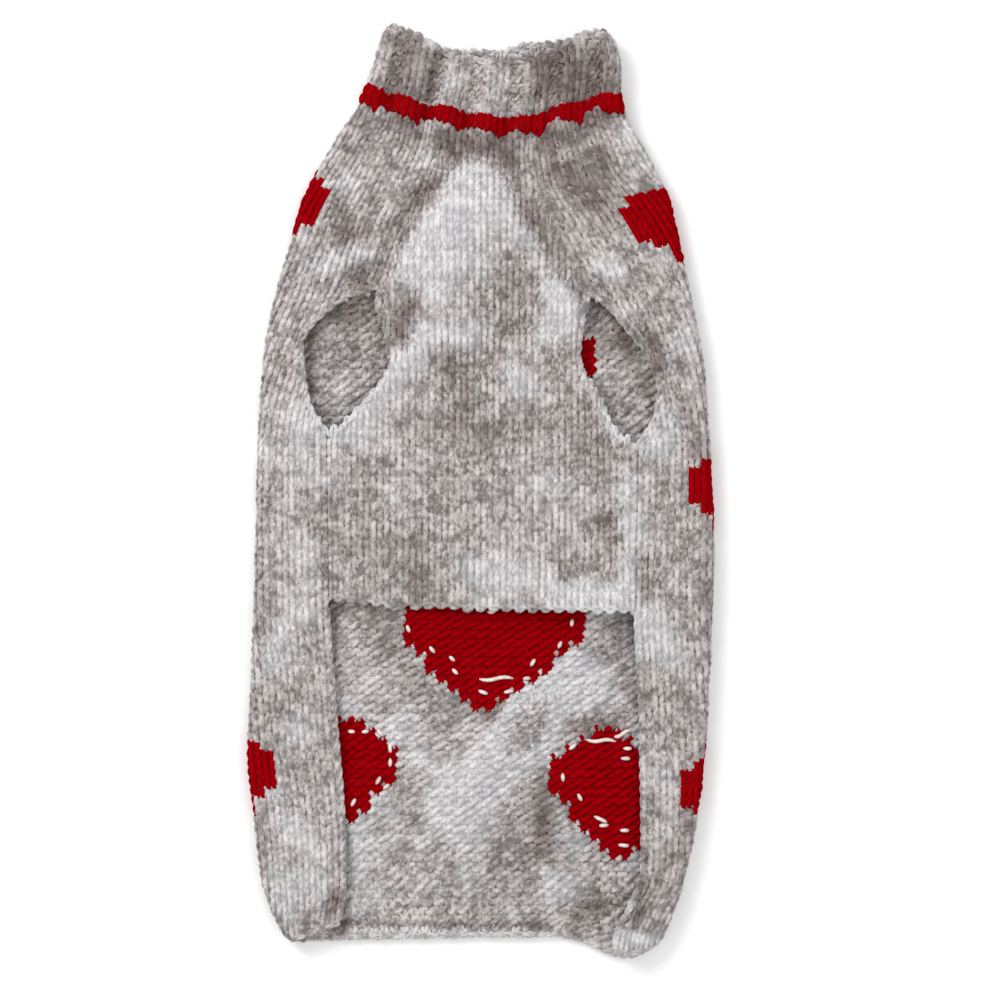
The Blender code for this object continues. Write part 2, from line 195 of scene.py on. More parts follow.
COLLAR_SIDES = table(
    "rise left right",
    (0.00, -0.0607, 0.0725),
    (0.15, -0.0585, 0.0708),
    (0.30, -0.0560, 0.0697),
    (0.55, -0.0530, 0.0695),
    (0.75, -0.0508, 0.0685),
    (0.92, -0.0490, 0.0665),
    (1.00, -0.0475, 0.0650),
)
MOUTH_HEIGHTS = table(
    "across z",
    (0.00, 0.0146),
    (0.17, 0.0168),
    (0.37, 0.0144),
    (0.55, 0.0158),
    (0.70, 0.0143),
    (0.86, 0.0170),
    (1.00, 0.0146),
)

# Soft ridges (+) and troughs (-), each along a line, with its half width and height.
CREASE = "name x0 y0 x1 y1 width height"
CREASES = table(
    CREASE,
    ("chest puff", -0.008, 0.152, -0.014, 0.098, 0.0290, 0.0040),
    ("left chest seam", -0.022, 0.176, -0.046, 0.108, 0.0036, -0.0013),
    ("right chest seam", 0.025, 0.172, 0.050, 0.108, 0.0036, -0.0013),
    ("left lower seam", -0.077, 0.024, -0.076, -0.054, 0.0030, -0.0009),
    ("right lower seam", 0.078, 0.018, 0.077, -0.056, 0.0030, -0.0007),
    ("left leg hole, inner slope", -0.046, 0.096, -0.045, 0.072, 0.0080, -0.0016),
    ("left leg hole, rolled edge", -0.023, 0.048, -0.068, 0.024, 0.0085, 0.0022),
    ("right leg hole, rolled edge", 0.056, 0.050, 0.078, 0.022, 0.0065, 0.0020),
    ("right leg hole, upper edge", 0.047, 0.104, 0.046, 0.080, 0.0060, 0.0014),
    ("left shoulder", -0.048, 0.168, -0.072, 0.118, 0.0120, 0.0012),
    ("right shoulder", 0.052, 0.166, 0.080, 0.100, 0.0110, 0.0014),
    ("belly, long wave", 0.018, 0.022, 0.022, -0.040, 0.0190, 0.0012),
    ("belly, left wave", -0.058, -0.004, -0.036, -0.034, 0.0130, 0.0009),
    ("right hip", 0.092, 0.006, 0.078, -0.070, 0.0120, 0.0010),
    ("left strip", -0.094, -0.060, -0.088, -0.180, 0.0110, 0.0008),
    ("right strip, turned edge", 0.072, -0.182, 0.067, -0.216, 0.0045, 0.0020),
)
# Slighter unevenness of the upper layer, with painted light and shade: its wool is paler where it
# stands up, browner where it sinks, and where a trough would sink below the layer under it, only
# its painted shade is left.
PATCHES = table(
    CREASE,
    ("top of the chest", 0.000, 0.150, -0.026, 0.112, 0.0180, 0.0036),
    ("left of the chest", -0.034, 0.130, -0.036, 0.104, 0.0090, 0.0012),
    ("low end of the chest", -0.009, 0.107, -0.002, 0.101, 0.0060, -0.0024),
    ("right arm of the chest", 0.023, 0.130, 0.043, 0.090, 0.0085, 0.0040),
    ("below the collar", -0.014, 0.1750, 0.010, 0.1715, 0.0090, -0.0066),
    ("below the stripe, left", -0.042, 0.1860, -0.034, 0.1800, 0.0065, -0.0036),
    ("below the stripe, middle", 0.008, 0.184, 0.020, 0.181, 0.0055, -0.0026),
    ("below the stripe, right", 0.030, 0.188, 0.035, 0.178, 0.0070, -0.0040),
    ("below the stripe, far right", 0.050, 0.187, 0.068, 0.188, 0.0060, -0.0044),
    ("left chest trough, top", -0.013, 0.166, -0.029, 0.149, 0.0055, -0.0024),
    ("left chest trough", -0.028, 0.149, -0.050, 0.112, 0.0066, -0.0034),
    ("right chest trough, top", 0.016, 0.164, 0.025, 0.137, 0.0060, -0.0026),
    ("right chest trough", 0.025, 0.137, 0.051, 0.104, 0.0075, -0.0030),
    ("hollow of the chest", 0.014, 0.104, 0.016, 0.078, 0.0100, -0.0030),
    ("by the left leg hole", -0.033, 0.100, -0.030, 0.094, 0.0070, -0.0018),
    ("right of the hollow, top", 0.022, 0.119, 0.032, 0.110, 0.0080, -0.0030),
    ("right of the hollow", 0.026, 0.090, 0.030, 0.078, 0.0080, 0.0018),
    ("right of the trough", 0.054, 0.135, 0.062, 0.118, 0.0070, 0.0010),
    ("left shoulder", -0.060, 0.168, -0.066, 0.132, 0.0140, -0.0010),
    ("left shoulder, middle", -0.074, 0.153, -0.064, 0.154, 0.0070, 0.0020),
    ("left shoulder, by the fold", -0.074, 0.184, -0.088, 0.158, 0.0070, 0.0038),
    ("left shoulder, at the neck", -0.064, 0.187, -0.060, 0.186, 0.0060, -0.0030),
    ("left shoulder, outside", -0.096, 0.124, -0.103, 0.108, 0.0070, -0.0024),
    ("left shoulder, hollow", -0.071, 0.139, -0.068, 0.132, 0.0085, -0.0034),
    ("left shoulder, low", -0.080, 0.112, -0.056, 0.118, 0.0060, 0.0030),
    ("left side, swell", -0.106, 0.094, -0.104, 0.090, 0.0070, 0.0016),
    ("right shoulder", 0.042, 0.168, 0.058, 0.132, 0.0190, -0.0018),
    ("right shoulder, hollow", 0.060, 0.169, 0.063, 0.160, 0.0080, -0.0036),
    ("right shoulder, inner hollow", 0.038, 0.161, 0.047, 0.158, 0.0070, -0.0026),
    ("right shoulder, by the heart", 0.056, 0.152, 0.057, 0.138, 0.0070, -0.0018),
    ("right shoulder, by the fold", 0.072, 0.186, 0.088, 0.156, 0.0060, 0.0022),
    ("right side, swell", 0.104, 0.100, 0.108, 0.064, 0.0060, 0.0018),
    ("right shoulder, low", 0.088, 0.108, 0.094, 0.105, 0.0060, -0.0020),
    ("right side, hollow", 0.104, 0.042, 0.111, 0.010, 0.0060, -0.0028),
    ("left leg hole, top", -0.062, 0.108, -0.056, 0.104, 0.0070, -0.0040),
    ("left leg hole, deep slope", -0.036, 0.094, -0.040, 0.080, 0.0080, -0.0044),
    ("left leg hole, lower rim", -0.034, 0.070, -0.058, 0.044, 0.0075, 0.0042),
    ("left leg hole, foot", -0.066, 0.038, -0.090, 0.034, 0.0100, 0.0034),
    ("left leg hole, outer rim", -0.082, 0.044, -0.072, 0.037, 0.0060, 0.0034),
    ("left side, low swell", -0.114, 0.050, -0.112, 0.024, 0.0070, 0.0026),
    ("right leg hole, top", 0.060, 0.103, 0.072, 0.098, 0.0050, -0.0012),
    ("right leg hole, above it", 0.058, 0.111, 0.070, 0.110, 0.0050, 0.0034),
    ("right leg hole, inner edge", 0.036, 0.053, 0.046, 0.051, 0.0050, -0.0012),
    ("right leg hole, foot", 0.068, 0.033, 0.088, 0.023, 0.0085, 0.0036),
    ("right leg hole, outer side", 0.086, 0.078, 0.088, 0.062, 0.0060, -0.0030),
    ("right leg hole, outer rim", 0.090, 0.042, 0.095, 0.036, 0.0060, 0.0022),
    ("right of the middle, high", 0.016, 0.072, 0.018, 0.054, 0.0060, 0.0024),
    ("right of the belly, swell", 0.074, 0.004, 0.074, -0.044, 0.0080, 0.0028),
    ("right of the belly, hollow", 0.057, 0.032, 0.060, 0.010, 0.0070, -0.0026),
    ("left of the belly, swell", -0.104, 0.016, -0.078, 0.006, 0.0120, 0.0018),
    ("left seam, swell", -0.092, -0.028, -0.084, -0.056, 0.0100, 0.0018),
    ("middle of the belly", -0.014, 0.064, -0.010, 0.036, 0.0100, -0.0036),
    ("right of the middle, swell", 0.004, 0.040, -0.002, 0.034, 0.0060, 0.0024),
    ("above the middle", -0.030, 0.080, -0.008, 0.075, 0.0070, 0.0028),
    ("middle of the belly, low", 0.004, 0.030, 0.003, 0.018, 0.0090, -0.0034),
    ("right of the middle", 0.016, 0.034, 0.022, 0.028, 0.0066, -0.0020),
    ("below the middle", 0.014, -0.010, 0.024, -0.012, 0.0070, -0.0012),
    ("left of the belly", -0.078, -0.014, -0.062, -0.026, 0.0080, -0.0026),
    ("left of the belly, high", -0.060, 0.006, -0.058, -0.010, 0.0060, -0.0020),
    ("left of the belly, light", -0.038, -0.024, -0.036, -0.032, 0.0060, 0.0018),
    ("right of the belly, low hollow", 0.064, -0.014, 0.066, -0.028, 0.0060, -0.0030),
    ("by the hem, left", -0.034, -0.026, -0.032, -0.048, 0.0090, -0.0036),
    ("above the belly's hem", 0.004, -0.040, 0.050, -0.050, 0.0100, 0.0020),
    ("left of the hem's middle", -0.010, -0.034, -0.005, -0.038, 0.0060, 0.0022),
    ("by the hem, right", 0.036, -0.054, 0.058, -0.057, 0.0060, 0.0026),
    ("by the hem, small hollow", 0.042, -0.036, 0.043, -0.040, 0.0050, -0.0030),
    ("right end of the hem", 0.068, -0.058, 0.074, -0.076, 0.0080, 0.0074),
    ("low middle of the belly", 0.014, 0.008, 0.034, -0.002, 0.0100, 0.0008),
    ("by the right seam", 0.082, -0.036, 0.084, -0.050, 0.0060, -0.0030),
    ("right strip, top", 0.086, -0.062, 0.094, -0.082, 0.0080, 0.0024),
    ("right strip, side", 0.112, -0.006, 0.112, -0.064, 0.0050, -0.0014),
    ("right strip, middle", 0.086, -0.100, 0.102, -0.104, 0.0060, -0.0010),
    ("right strip, swell", 0.086, -0.146, 0.096, -0.162, 0.0070, 0.0012),
    ("right strip, by the fold", 0.105, -0.150, 0.101, -0.180, 0.0045, -0.0024),
    ("left strip, top", -0.092, -0.062, -0.110, -0.090, 0.0080, 0.0020),
    ("left strip, middle", -0.088, -0.122, -0.086, -0.128, 0.0080, 0.0014),
    ("left strip, low", -0.104, -0.150, -0.084, -0.196, 0.0100, 0.0020),
    ("left strip, end", -0.104, -0.190, -0.098, -0.212, 0.0080, 0.0016),
    ("left strip, turned corner", -0.073, -0.203, -0.076, -0.213, 0.0035, -0.0050),
    ("left strip, hollow", -0.112, -0.106, -0.100, -0.110, 0.0060, -0.0014),
    ("right strip, deep trough", 0.080, -0.178, 0.080, -0.202, 0.0032, -0.0034),
    ("right strip, turned edge, light", 0.073, -0.180, 0.073, -0.208, 0.0030, 0.0056),
    ("right corner, light", 0.058, -0.221, 0.064, -0.224, 0.0040, 0.0034),
    ("right strip, low hollow", 0.069, -0.208, 0.078, -0.211, 0.0055, -0.0036),
    ("right strip, end", 0.070, -0.224, 0.082, -0.224, 0.0050, 0.0030),
    ("right strip, hollow", 0.092, -0.180, 0.088, -0.204, 0.0060, -0.0014),
    ("left strip, hem", -0.100, -0.221, -0.078, -0.222, 0.0040, 0.0004),
)
# The back's own soft folds where it lies under the belly, seen inside below the belly's hem and
# through the leg holes. Its ridges are raised and painted paler; its troughs are only painted
# shade.
UNDER_CREASES = table(
    CREASE,
    ("slanting fold, top", 0.042, -0.096, 0.022, -0.118, 0.0125, 0.0032),
    ("slanting fold", 0.022, -0.118, -0.012, -0.158, 0.0120, 0.0026),
    ("slanting fold, end", -0.012, -0.158, -0.026, -0.176, 0.0100, -0.0002),
    ("below the slanting fold", 0.007, -0.104, 0.003, -0.112, 0.0050, -0.0022),
    ("left of the slanting fold", -0.040, -0.118, -0.030, -0.132, 0.0080, 0.0008),
    ("low middle, hollow", 0.022, -0.190, 0.026, -0.196, 0.0070, -0.0012),
    ("left end, swell", -0.066, -0.150, -0.060, -0.196, 0.0130, 0.0008),
    ("left of the top heart", -0.046, -0.074, -0.030, -0.102, 0.0080, -0.0011),
    ("left of the top heart, by the hem", -0.053, -0.060, -0.054, -0.064, 0.0050, -0.0016),
    ("below the top heart", -0.012, -0.106, 0.000, -0.108, 0.0060, -0.0010),
    ("right of the fold", 0.030, -0.150, 0.032, -0.178, 0.0095, -0.0020),
    ("low hollow", 0.010, -0.180, 0.012, -0.186, 0.0070, -0.0006),
    ("above the rolled hem", -0.070, -0.2155, 0.034, -0.2170, 0.0018, -0.0016),
    ("rolled hem", -0.070, -0.2195, 0.034, -0.2205, 0.0022, 0.0007),
    ("right end, swell", 0.032, -0.192, 0.042, -0.200, 0.0080, 0.0014),
    ("right end, hollow", 0.046, -0.214, 0.060, -0.204, 0.0080, -0.0018),
    ("above the right heart", 0.044, -0.116, 0.064, -0.116, 0.0060, -0.0018),
    ("by the right strip", 0.066, -0.070, 0.077, -0.104, 0.0040, -0.0011),
    ("below the hem, right", 0.037, -0.079, 0.036, -0.084, 0.0050, -0.0010),
    ("by the left strip", -0.0755, -0.058, -0.0765, -0.106, 0.0035, -0.0014),
    ("by the left strip, end", -0.070, -0.168, -0.069, -0.220, 0.0030, -0.0011),
    ("below the left leg hole", -0.084, 0.089, -0.052, 0.088, 0.0090, -0.0014),
    ("left leg hole, side", -0.086, 0.078, -0.086, 0.052, 0.0040, -0.0016),
    ("left leg hole, inner side", -0.050, 0.078, -0.048, 0.068, 0.0050, -0.0010),
    ("inside the left leg hole", -0.062, 0.084, -0.074, 0.062, 0.0080, -0.0008),
    ("below the right leg hole", 0.064, 0.097, 0.074, 0.088, 0.0105, -0.0026),
    ("right leg hole, side", 0.072, 0.076, 0.084, 0.050, 0.0060, -0.0016),
    ("right leg hole, inner side", 0.060, 0.080, 0.062, 0.066, 0.0050, -0.0012),
)
# Folds of the collar's upper side, painted paler on their ridges and browner in their troughs as
# light and shade.
COLLAR_CREASES = table(
    CREASE,
    ("left fold", -0.021, 0.220, -0.029, 0.186, 0.0050, -0.0044),
    ("right fold", 0.030, 0.218, 0.028, 0.190, 0.0040, -0.0030),
    ("left lobe", -0.036, 0.222, -0.042, 0.200, 0.0110, -0.0038),
    ("left edge", -0.058, 0.230, -0.062, 0.206, 0.0040, 0.0020),
    ("left lobe, swell", -0.047, 0.224, -0.052, 0.204, 0.0040, 0.0008),
    ("right lobe", 0.038, 0.216, 0.046, 0.198, 0.0120, -0.0060),
    ("right lobe, far side", 0.059, 0.220, 0.061, 0.202, 0.0070, -0.0040),
    ("middle", -0.010, 0.208, 0.012, 0.206, 0.0080, 0.0008),
    ("middle, low", -0.003, 0.199, 0.002, 0.193, 0.0060, -0.0024),
    ("mouth, behind", -0.024, 0.2250, 0.030, 0.2255, 0.0035, 0.0056),
    ("mouth, shade", 0.006, 0.2170, 0.028, 0.2175, 0.0018, -0.0060),
)

# ---- the knitting ----------------------------------------------------------------------------
SWELL = 0.0008              # the upper layer lies this much more loosely than its solid
WALES = 48                  # stitches across the back, seam to seam
ROWS = 90                   # courses from the hem to the collar
BELLY_WALE = 0.0065         # width of a stitch of the belly piece
COLLAR_STITCHES = 4 * RIB_COUNT
COLLAR_ROWS = 8
STRIPE_ROWS = 2
ROW = (NECK_Y - HEM_Y) / ROWS
BELLY_ROWS = int(round((NECK_Y - BELLY_HEM_Y) / ROW))

STEPS = 12                  # points of yarn a stitch
SIDES = 6                   # faces round the yarn
LOOP_LEAN = 0.150           # how far the legs of a loop lean, as a share of its width
LOOP_REACH = 0.82           # from the middle of a loop to its head, in rows
LOOP_SLANT = 0.10           # how far head and foot slant, in rows
INSIDE_REACH = 0.74         # the same on the side that lies underneath, whose inside shows
INSIDE_SLANT = 0.22
LOOP_DEPTH = 0.00064        # the legs stand this far out, head and foot this far in
YARN_WIDTH = 0.236          # half the width of the yarn, as a share of the stitch
YARN_THINNEST = 0.00090
YARN_FATTEST = 0.00140
YARN_THICK = 0.00095        # half its thickness
HEAD = (0.36, 0.64)         # this share of a loop is its head, which lies in the next row
FOOT = 0.12                 # and this much at either end its foot, which lies in the row before
RIB_TURN = 0.3              # a rib stitch faces one way this far to either side of its middle
LEAST_STITCH = 0.3          # an end stitch is at least this share of a whole one

# How unevenly it is knitted: the spread of each stitch's reach, height, depth and lean.
REACH_SPREAD = 0.05
WANDER_SPREAD = 0.06
DEPTH_SPREAD = 0.00016
LEAN_SPREAD = 0.16


def curve(rows, column):
    """A smooth curve through a table: one column as a function of the first, without overshoot."""
    place = np.array([row[0] for row in rows])
    value = np.array([getattr(row, column) for row in rows])
    step = np.diff(place)
    rise = np.diff(value) / step
    slope = np.empty(len(place))
    slope[0] = rise[0]
    slope[-1] = rise[-1]
    for k in range(1, len(place) - 1):
        same_way = rise[k - 1] * rise[k] > 0.0
        slope[k] = 2.0 * rise[k - 1] * rise[k] / (rise[k - 1] + rise[k]) if same_way else 0.0

    def at(where):
        where = np.clip(where, place[0], place[-1])
        k = np.clip(np.searchsorted(place, where, side="right") - 1, 0, len(step) - 1)
        f = (where - place[k]) / step[k]
        start = value[k] * (1.0 + 2.0 * f) + slope[k] * step[k] * f
        end = value[k + 1] * (3.0 - 2.0 * f) - slope[k + 1] * step[k] * (1.0 - f)
        return start * (1.0 - f) ** 2 + end * f ** 2

    return at


# One half of the garment. turned is the way from its fold to the middle, tilt how steeply the
# shoulders' rows fall away from the fold, and hang how far the strip's rows hang near the hem.
Side = namedtuple("Side", "turned outline seam hole_back hole_belly tilt hang")


def half(column, turned, hole, tilt, hang):
    lines = curve(OUTLINE, column), curve(SEAMS, column), curve(hole, "back"), curve(hole, "belly")
    return Side(turned, *lines, tilt, hang)


LEFT = half("left", 1.0, LEFT_HOLE, 0.15, 0.002)
RIGHT = half("right", -1.0, RIGHT_HOLE, 0.33, 0.007)

neck_upper = curve(NECKLINE, "upper")
neck_under = curve(NECKLINE, "under")
hem_upper = curve(HEMLINE, "upper")
hem_under = curve(HEMLINE, "under")
mouth_upper = curve(MOUTHLINE, "upper")
mouth_under = curve(MOUTHLINE, "under")
belly_hem = curve(BELLY_HEM, "y")
collar_left = curve(COLLAR_SIDES, "left")
collar_right = curve(COLLAR_SIDES, "right")
mouth_height = curve(MOUTH_HEIGHTS, "z")


def blend(a, b, share):
    return a + (b - a) * share


def ease(share):
    share = np.clip(share, 0.0, 1.0)
    return share * share * (3.0 - 2.0 * share)


def near(distance, reach):
    """1 at no distance, easing to 0 at a reach."""
    return ease(1.0 - distance / reach)


def bell(distance, width):
    return np.exp(-(distance / width) ** 2)


def relief(creases, x, y):
    """All soft ridges and troughs of a table at these places."""
    total = np.zeros(np.shape(x))
    for crease in creases:
        along_x = crease.x1 - crease.x0
        along_y = crease.y1 - crease.y0
        share = (x - crease.x0) * along_x + (y - crease.y0) * along_y
        share = np.clip(share / (along_x ** 2 + along_y ** 2), 0.0, 1.0)
        off = np.hypot(x - crease.x0 - share * along_x, y - crease.y0 - share * along_y)
        total += crease.height * bell(off, crease.width)
    return total


def gathers(across):
    """The body's small waves below the collar: 1 on a crest, -1 in a trough."""
    return -np.cos(math.pi * RIB_COUNT * (across - RIB_TROUGH_AT))


def fold_line(side, y):
    """The x at which a row's cloth leaves a side fold."""
    return side.outline(y) + side.turned * FOLD_RADIUS


def share_across(x, y):
    """How far a place is from the left fold (0) to the right one (1)."""
    left = fold_line(LEFT, y)
    return (x - left) / (fold_line(RIGHT, y) - left)


def top_height(x, y):
    """Outside of the upper layer: lies on the layer below, lifted at the folds and creases."""
    off_left = x - fold_line(LEFT, y)
    off_right = x - fold_line(RIGHT, y)
    lying = 2.0 * WALL + LAY_GAP
    lift = (2.0 * FOLD_RADIUS - lying) * (bell(off_left, FOLD_REACH) + bell(off_right, FOLD_REACH))
    inside = 1.0 - bell(off_left, FOLD_SMOOTH_REACH) - bell(off_right, FOLD_SMOOTH_REACH)
    gather = gathers(share_across(x, y)) * GATHER_HEIGHT * near(NECK_Y - y, GATHER_REACH)
    height = lying + lift + inside * (SWELL + relief(CREASES + PATCHES, x, y) + gather)
    return np.maximum(height, 2.0 * WALL + LEAST_GAP)


def bowed(x, y, upper):
    """The y of a point once the rows near the neck and the hem follow their bowed ends."""
    neck = blend(neck_under(x), neck_upper(x), upper)
    hem = blend(hem_under(x), hem_upper(x), upper)
    y_new = y + (neck - NECK_Y) * near(NECK_Y - y, NECK_BEND_REACH)
    y_new += SCALLOP * upper * gathers(share_across(x, y)) * near(NECK_Y - y, SCALLOP_REACH)
    return y_new + (hem - HEM_Y) * near(y - HEM_Y, HEM_BEND_REACH)


# ---- the form of each piece: a place on the middle of its cloth ------------------------------
MID = 0.5 * WALL
MID_RADIUS = FOLD_RADIUS - MID
FOLD = math.pi * MID_RADIUS

TILT_FROM = 0.020            # above this the shoulders' rows start to fall away from the folds
TILT_REACH = 0.080
HANG_TOP = -0.030            # below this the strips' rows hang lower than the underside's
HANG_REACH = 0.080
HANG_END = 0.040             # and no longer at the hem itself, from this far above it
REACH_ROUNDS = 8             # rounds until a tilted row's end settles on its seam
EDGE_ROUNDS = 12             # and until the row that meets a leg hole's edge does
CUT_SAMPLES = 600
EDGE_IN = 0.0009             # the rolled edge's middle lies this far inside the cut


def row_tilt(side, y):
    tilt = side.tilt * ease((y - TILT_FROM) / TILT_REACH)
    return tilt * (1.0 - near(NECK_Y - y, NECK_BEND_REACH))


def strip_reach(side, y):
    """How far a row of the back runs over the upper side, from a fold to a seam."""
    fold = fold_line(side, y)
    reach = np.abs(side.seam(y) - fold)
    for _ in range(REACH_ROUNDS):
        reach = np.abs(side.seam(y - row_tilt(side, y) * reach) - fold)
    return reach


def back_lengths(y):
    """Left strip, underside and right strip of a row of the back, and the whole row."""
    under = fold_line(RIGHT, y) - fold_line(LEFT, y)
    strip_left = strip_reach(LEFT, y)
    strip_right = strip_reach(RIGHT, y)
    return strip_left, under, strip_right, strip_left + under + strip_right + 2.0 * FOLD


def back_place(around, y):
    """From the left seam (0) over the left fold, underneath and over the right fold (1)."""
    strip_left, under, strip_right, whole = back_lengths(y)
    left = fold_line(LEFT, y)
    right = fold_line(RIGHT, y)
    gone = around * whole
    turn_left = np.clip((gone - strip_left) / MID_RADIUS, 0.0, math.pi)
    gone_under = gone - strip_left - FOLD
    turn_right = np.clip((gone_under - under) / MID_RADIUS, 0.0, math.pi)
    beyond = gone_under - under - FOLD
    zones = [gone < strip_left, gone_under < 0.0, gone_under < under, beyond < 0.0]
    x = np.select(
        zones,
        [
            left + strip_left - gone,
            left - MID_RADIUS * np.sin(turn_left),
            left + gone_under,
            right + MID_RADIUS * np.sin(turn_right),
        ],
        right - beyond,
    )
    left_fall = row_tilt(LEFT, y) * np.maximum(strip_left - gone, 0.0)
    y = y - left_fall - row_tilt(RIGHT, y) * np.maximum(beyond, 0.0)
    upper = np.select(
        zones,
        [1.0, 0.5 + 0.5 * np.cos(turn_left), 0.0, 0.5 - 0.5 * np.cos(turn_right)],
        1.0,
    )
    on_top = top_height(x, y) - MID
    z = np.select(
        zones,
        [
            on_top,
            FOLD_RADIUS + MID_RADIUS * np.cos(turn_left),
            MID + np.maximum(relief(UNDER_CREASES, x, y), 0.0),
            FOLD_RADIUS - MID_RADIUS * np.cos(turn_right),
        ],
        on_top,
    )
    hang = np.where(x < 0.0, LEFT.hang, RIGHT.hang) * upper
    hang *= ease((HANG_TOP - y) / HANG_REACH) * ease((y - HEM_Y) / HANG_END)
    return np.stack([x, bowed(x, y, upper) - hang, z], axis=-1)


def back_edge(side, y):
    """The x of the back's edge on the upper side: its seam, or its side of a leg hole."""
    return side.seam(y) - side.turned * side.hole_back(y)


def strip_cut(side, y, reach):
    """How much of a row's strip a leg hole takes away, from the seam on."""
    run = np.linspace(0.0, 1.0, CUT_SAMPLES) * reach
    fallen = y - row_tilt(side, y) * run
    x = fold_line(side, y) + side.turned * run
    past = side.turned * (x - back_edge(side, fallen)) >= 0.0
    return reach - run[np.argmax(past)] if past.any() else 0.0


def back_edges(y):
    """Where a row of the back starts and ends, at its seams or at the leg holes."""
    strip_left, _, strip_right, whole = back_lengths(y)
    first = strip_cut(LEFT, y, strip_left)
    last = strip_cut(RIGHT, y, strip_right)
    return first / whole, 1.0 - last / whole


def hole_edge_on_back(side, y):
    """The line (around, row) of a leg hole's edge that the back has, past these places."""
    edge = back_edge(side, y)
    row = y
    for _ in range(EDGE_ROUNDS):
        reach = np.abs(edge - fold_line(side, row))
        row = y + row_tilt(side, row) * reach
    strip_left, _, strip_right, whole = back_lengths(row)
    if side is LEFT:
        return (strip_left - reach - EDGE_IN) / whole, row
    return 1.0 - (strip_right - reach - EDGE_IN) / whole, row


def belly_place(x, y):
    """A place of the belly piece, which lies on the upper side from seam to seam."""
    hem_share = near(y - BELLY_HEM_Y, BELLY_HEM_REACH)
    y_here = bowed(x, y, 1.0) + (belly_hem(x) - BELLY_HEM_Y) * hem_share
    return np.stack([x, y_here, top_height(x, y) - MID], axis=-1)


def belly_edge(side, y):
    return side.seam(y) + side.turned * side.hole_belly(y)


FOLD_SAMPLES = 60
SIDE_SAMPLES = 240
RIB_SAMPLES = 12 * RIB_COUNT
RISE_SAMPLES = 25


def collar_section(rise):
    """The collar's inside at one height as a closed line: x, z, outward x and z, upper share."""
    radius = blend(FOLD_RADIUS, COLLAR_MOUTH_RADIUS, rise)
    inner = radius - WALL
    left = collar_left(rise) + radius
    right = collar_right(rise) - radius
    quarter = 0.5 * math.pi * np.arange(FOLD_SAMPLES) / FOLD_SAMPLES
    two_quarters = np.concatenate([quarter, quarter + 0.5 * math.pi])
    across = np.arange(SIDE_SAMPLES) / SIDE_SAMPLES
    x_top = blend(left, right, across)
    z_top = blend(top_height(x_top, NECK_Y) - WALL, mouth_height(across) - WALL, rise)
    end = np.append(quarter, 0.5 * math.pi)
    zero = np.zeros(SIDE_SAMPLES)
    turns = (
        (left, -np.cos(quarter), np.sin(quarter)),
        (right, np.sin(two_quarters), np.cos(two_quarters)),
        (left, -np.sin(end), -np.cos(end)),
    )
    folds = [
        np.stack([x + inner * ox, radius + inner * oz, ox, oz, 0.5 + 0.5 * oz], axis=1)
        for x, ox, oz in turns
    ]
    top = np.stack([x_top, z_top, zero, zero + 1.0, zero + 1.0], axis=1)
    bottom = np.stack([blend(right, left, across), zero + WALL, zero, zero - 1.0, zero], axis=1)
    line = np.concatenate([folds[0], top, folds[1], bottom, folds[2]])
    steps = np.diff(line[:, 0:2] + WALL * line[:, 2:4], axis=0)
    reach = np.concatenate(([0.0], np.cumsum(np.hypot(steps[:, 0], steps[:, 1]))))
    even = np.linspace(0.0, reach[-1], RIB_SAMPLES + 1)
    return np.stack([np.interp(even, reach, line[:, axis]) for axis in range(5)], axis=1)


COLLAR_GRID = np.stack([collar_section(k / (RISE_SAMPLES - 1)) for k in range(RISE_SAMPLES)])
RIB_HEIGHT = 0.0019
RIB_SINK = 0.0006            # the purl stitches lie this far below the wall
RIB_LEAD = 0.05              # the first rib starts this far before the left fold, in ribs
RIB_SQUARE = 2.2             # how squarely a rib turns from knit to purl
RIB_BROAD = 0.4              # how much broader its knit side is
SCALLOP_RISE = 0.625         # the gathers fade over this share of the collar's height
COLLAR_DEPTH = 0.45          # the folds are this much shallower than their painted light and shade
COLLAR_LOWEST = 0.0012       # pressed flat underneath: no course's middle lies lower than this


def collar_place(around, rise):
    """Once round the collar, from the middle of its left fold over its upper side."""
    up = np.clip(rise, 0.0, 1.0) * (RISE_SAMPLES - 1)
    row = np.minimum(up.astype(int), RISE_SAMPLES - 2)
    on = np.mod(around, 1.0) * RIB_SAMPLES
    column = np.minimum(on.astype(int), RIB_SAMPLES - 1)
    f_up = (up - row)[..., None]
    f_on = (on - column)[..., None]
    low = blend(COLLAR_GRID[row, column], COLLAR_GRID[row, column + 1], f_on)
    high = blend(COLLAR_GRID[row + 1, column], COLLAR_GRID[row + 1, column + 1], f_on)
    x, z, out_x, out_z, upper = np.moveaxis(blend(low, high, f_up), -1, 0)
    wave = RIB_SQUARE * np.sin(2.0 * math.pi * RIB_COUNT * around) + RIB_BROAD
    rib = (0.5 + 0.5 * np.tanh(wave)) * (1.0 + np.minimum(out_z, 0.0))
    depth = MID + RIB_HEIGHT * rib - RIB_SINK * (1.0 - rib)
    x = x + depth * out_x
    z = z + depth * out_z
    share = np.clip(rise, 0.0, 1.0)
    across = (x - collar_left(share)) / (collar_right(share) - collar_left(share))
    neck_x = blend(collar_left(0.0), collar_right(0.0), across)
    mouth_x = blend(collar_left(1.0), collar_right(1.0), across)
    base = blend(neck_under(neck_x), neck_upper(neck_x), upper)
    mouth = blend(mouth_under(mouth_x), mouth_upper(mouth_x), upper)
    base = base + SCALLOP * upper * gathers(across) * near(rise, SCALLOP_RISE)
    y = blend(base, mouth, rise)
    z = z + COLLAR_DEPTH * np.maximum(out_z, 0.0) * relief(COLLAR_CREASES, x, y)
    return np.stack([x, y, np.maximum(z, COLLAR_LOWEST)], axis=-1)


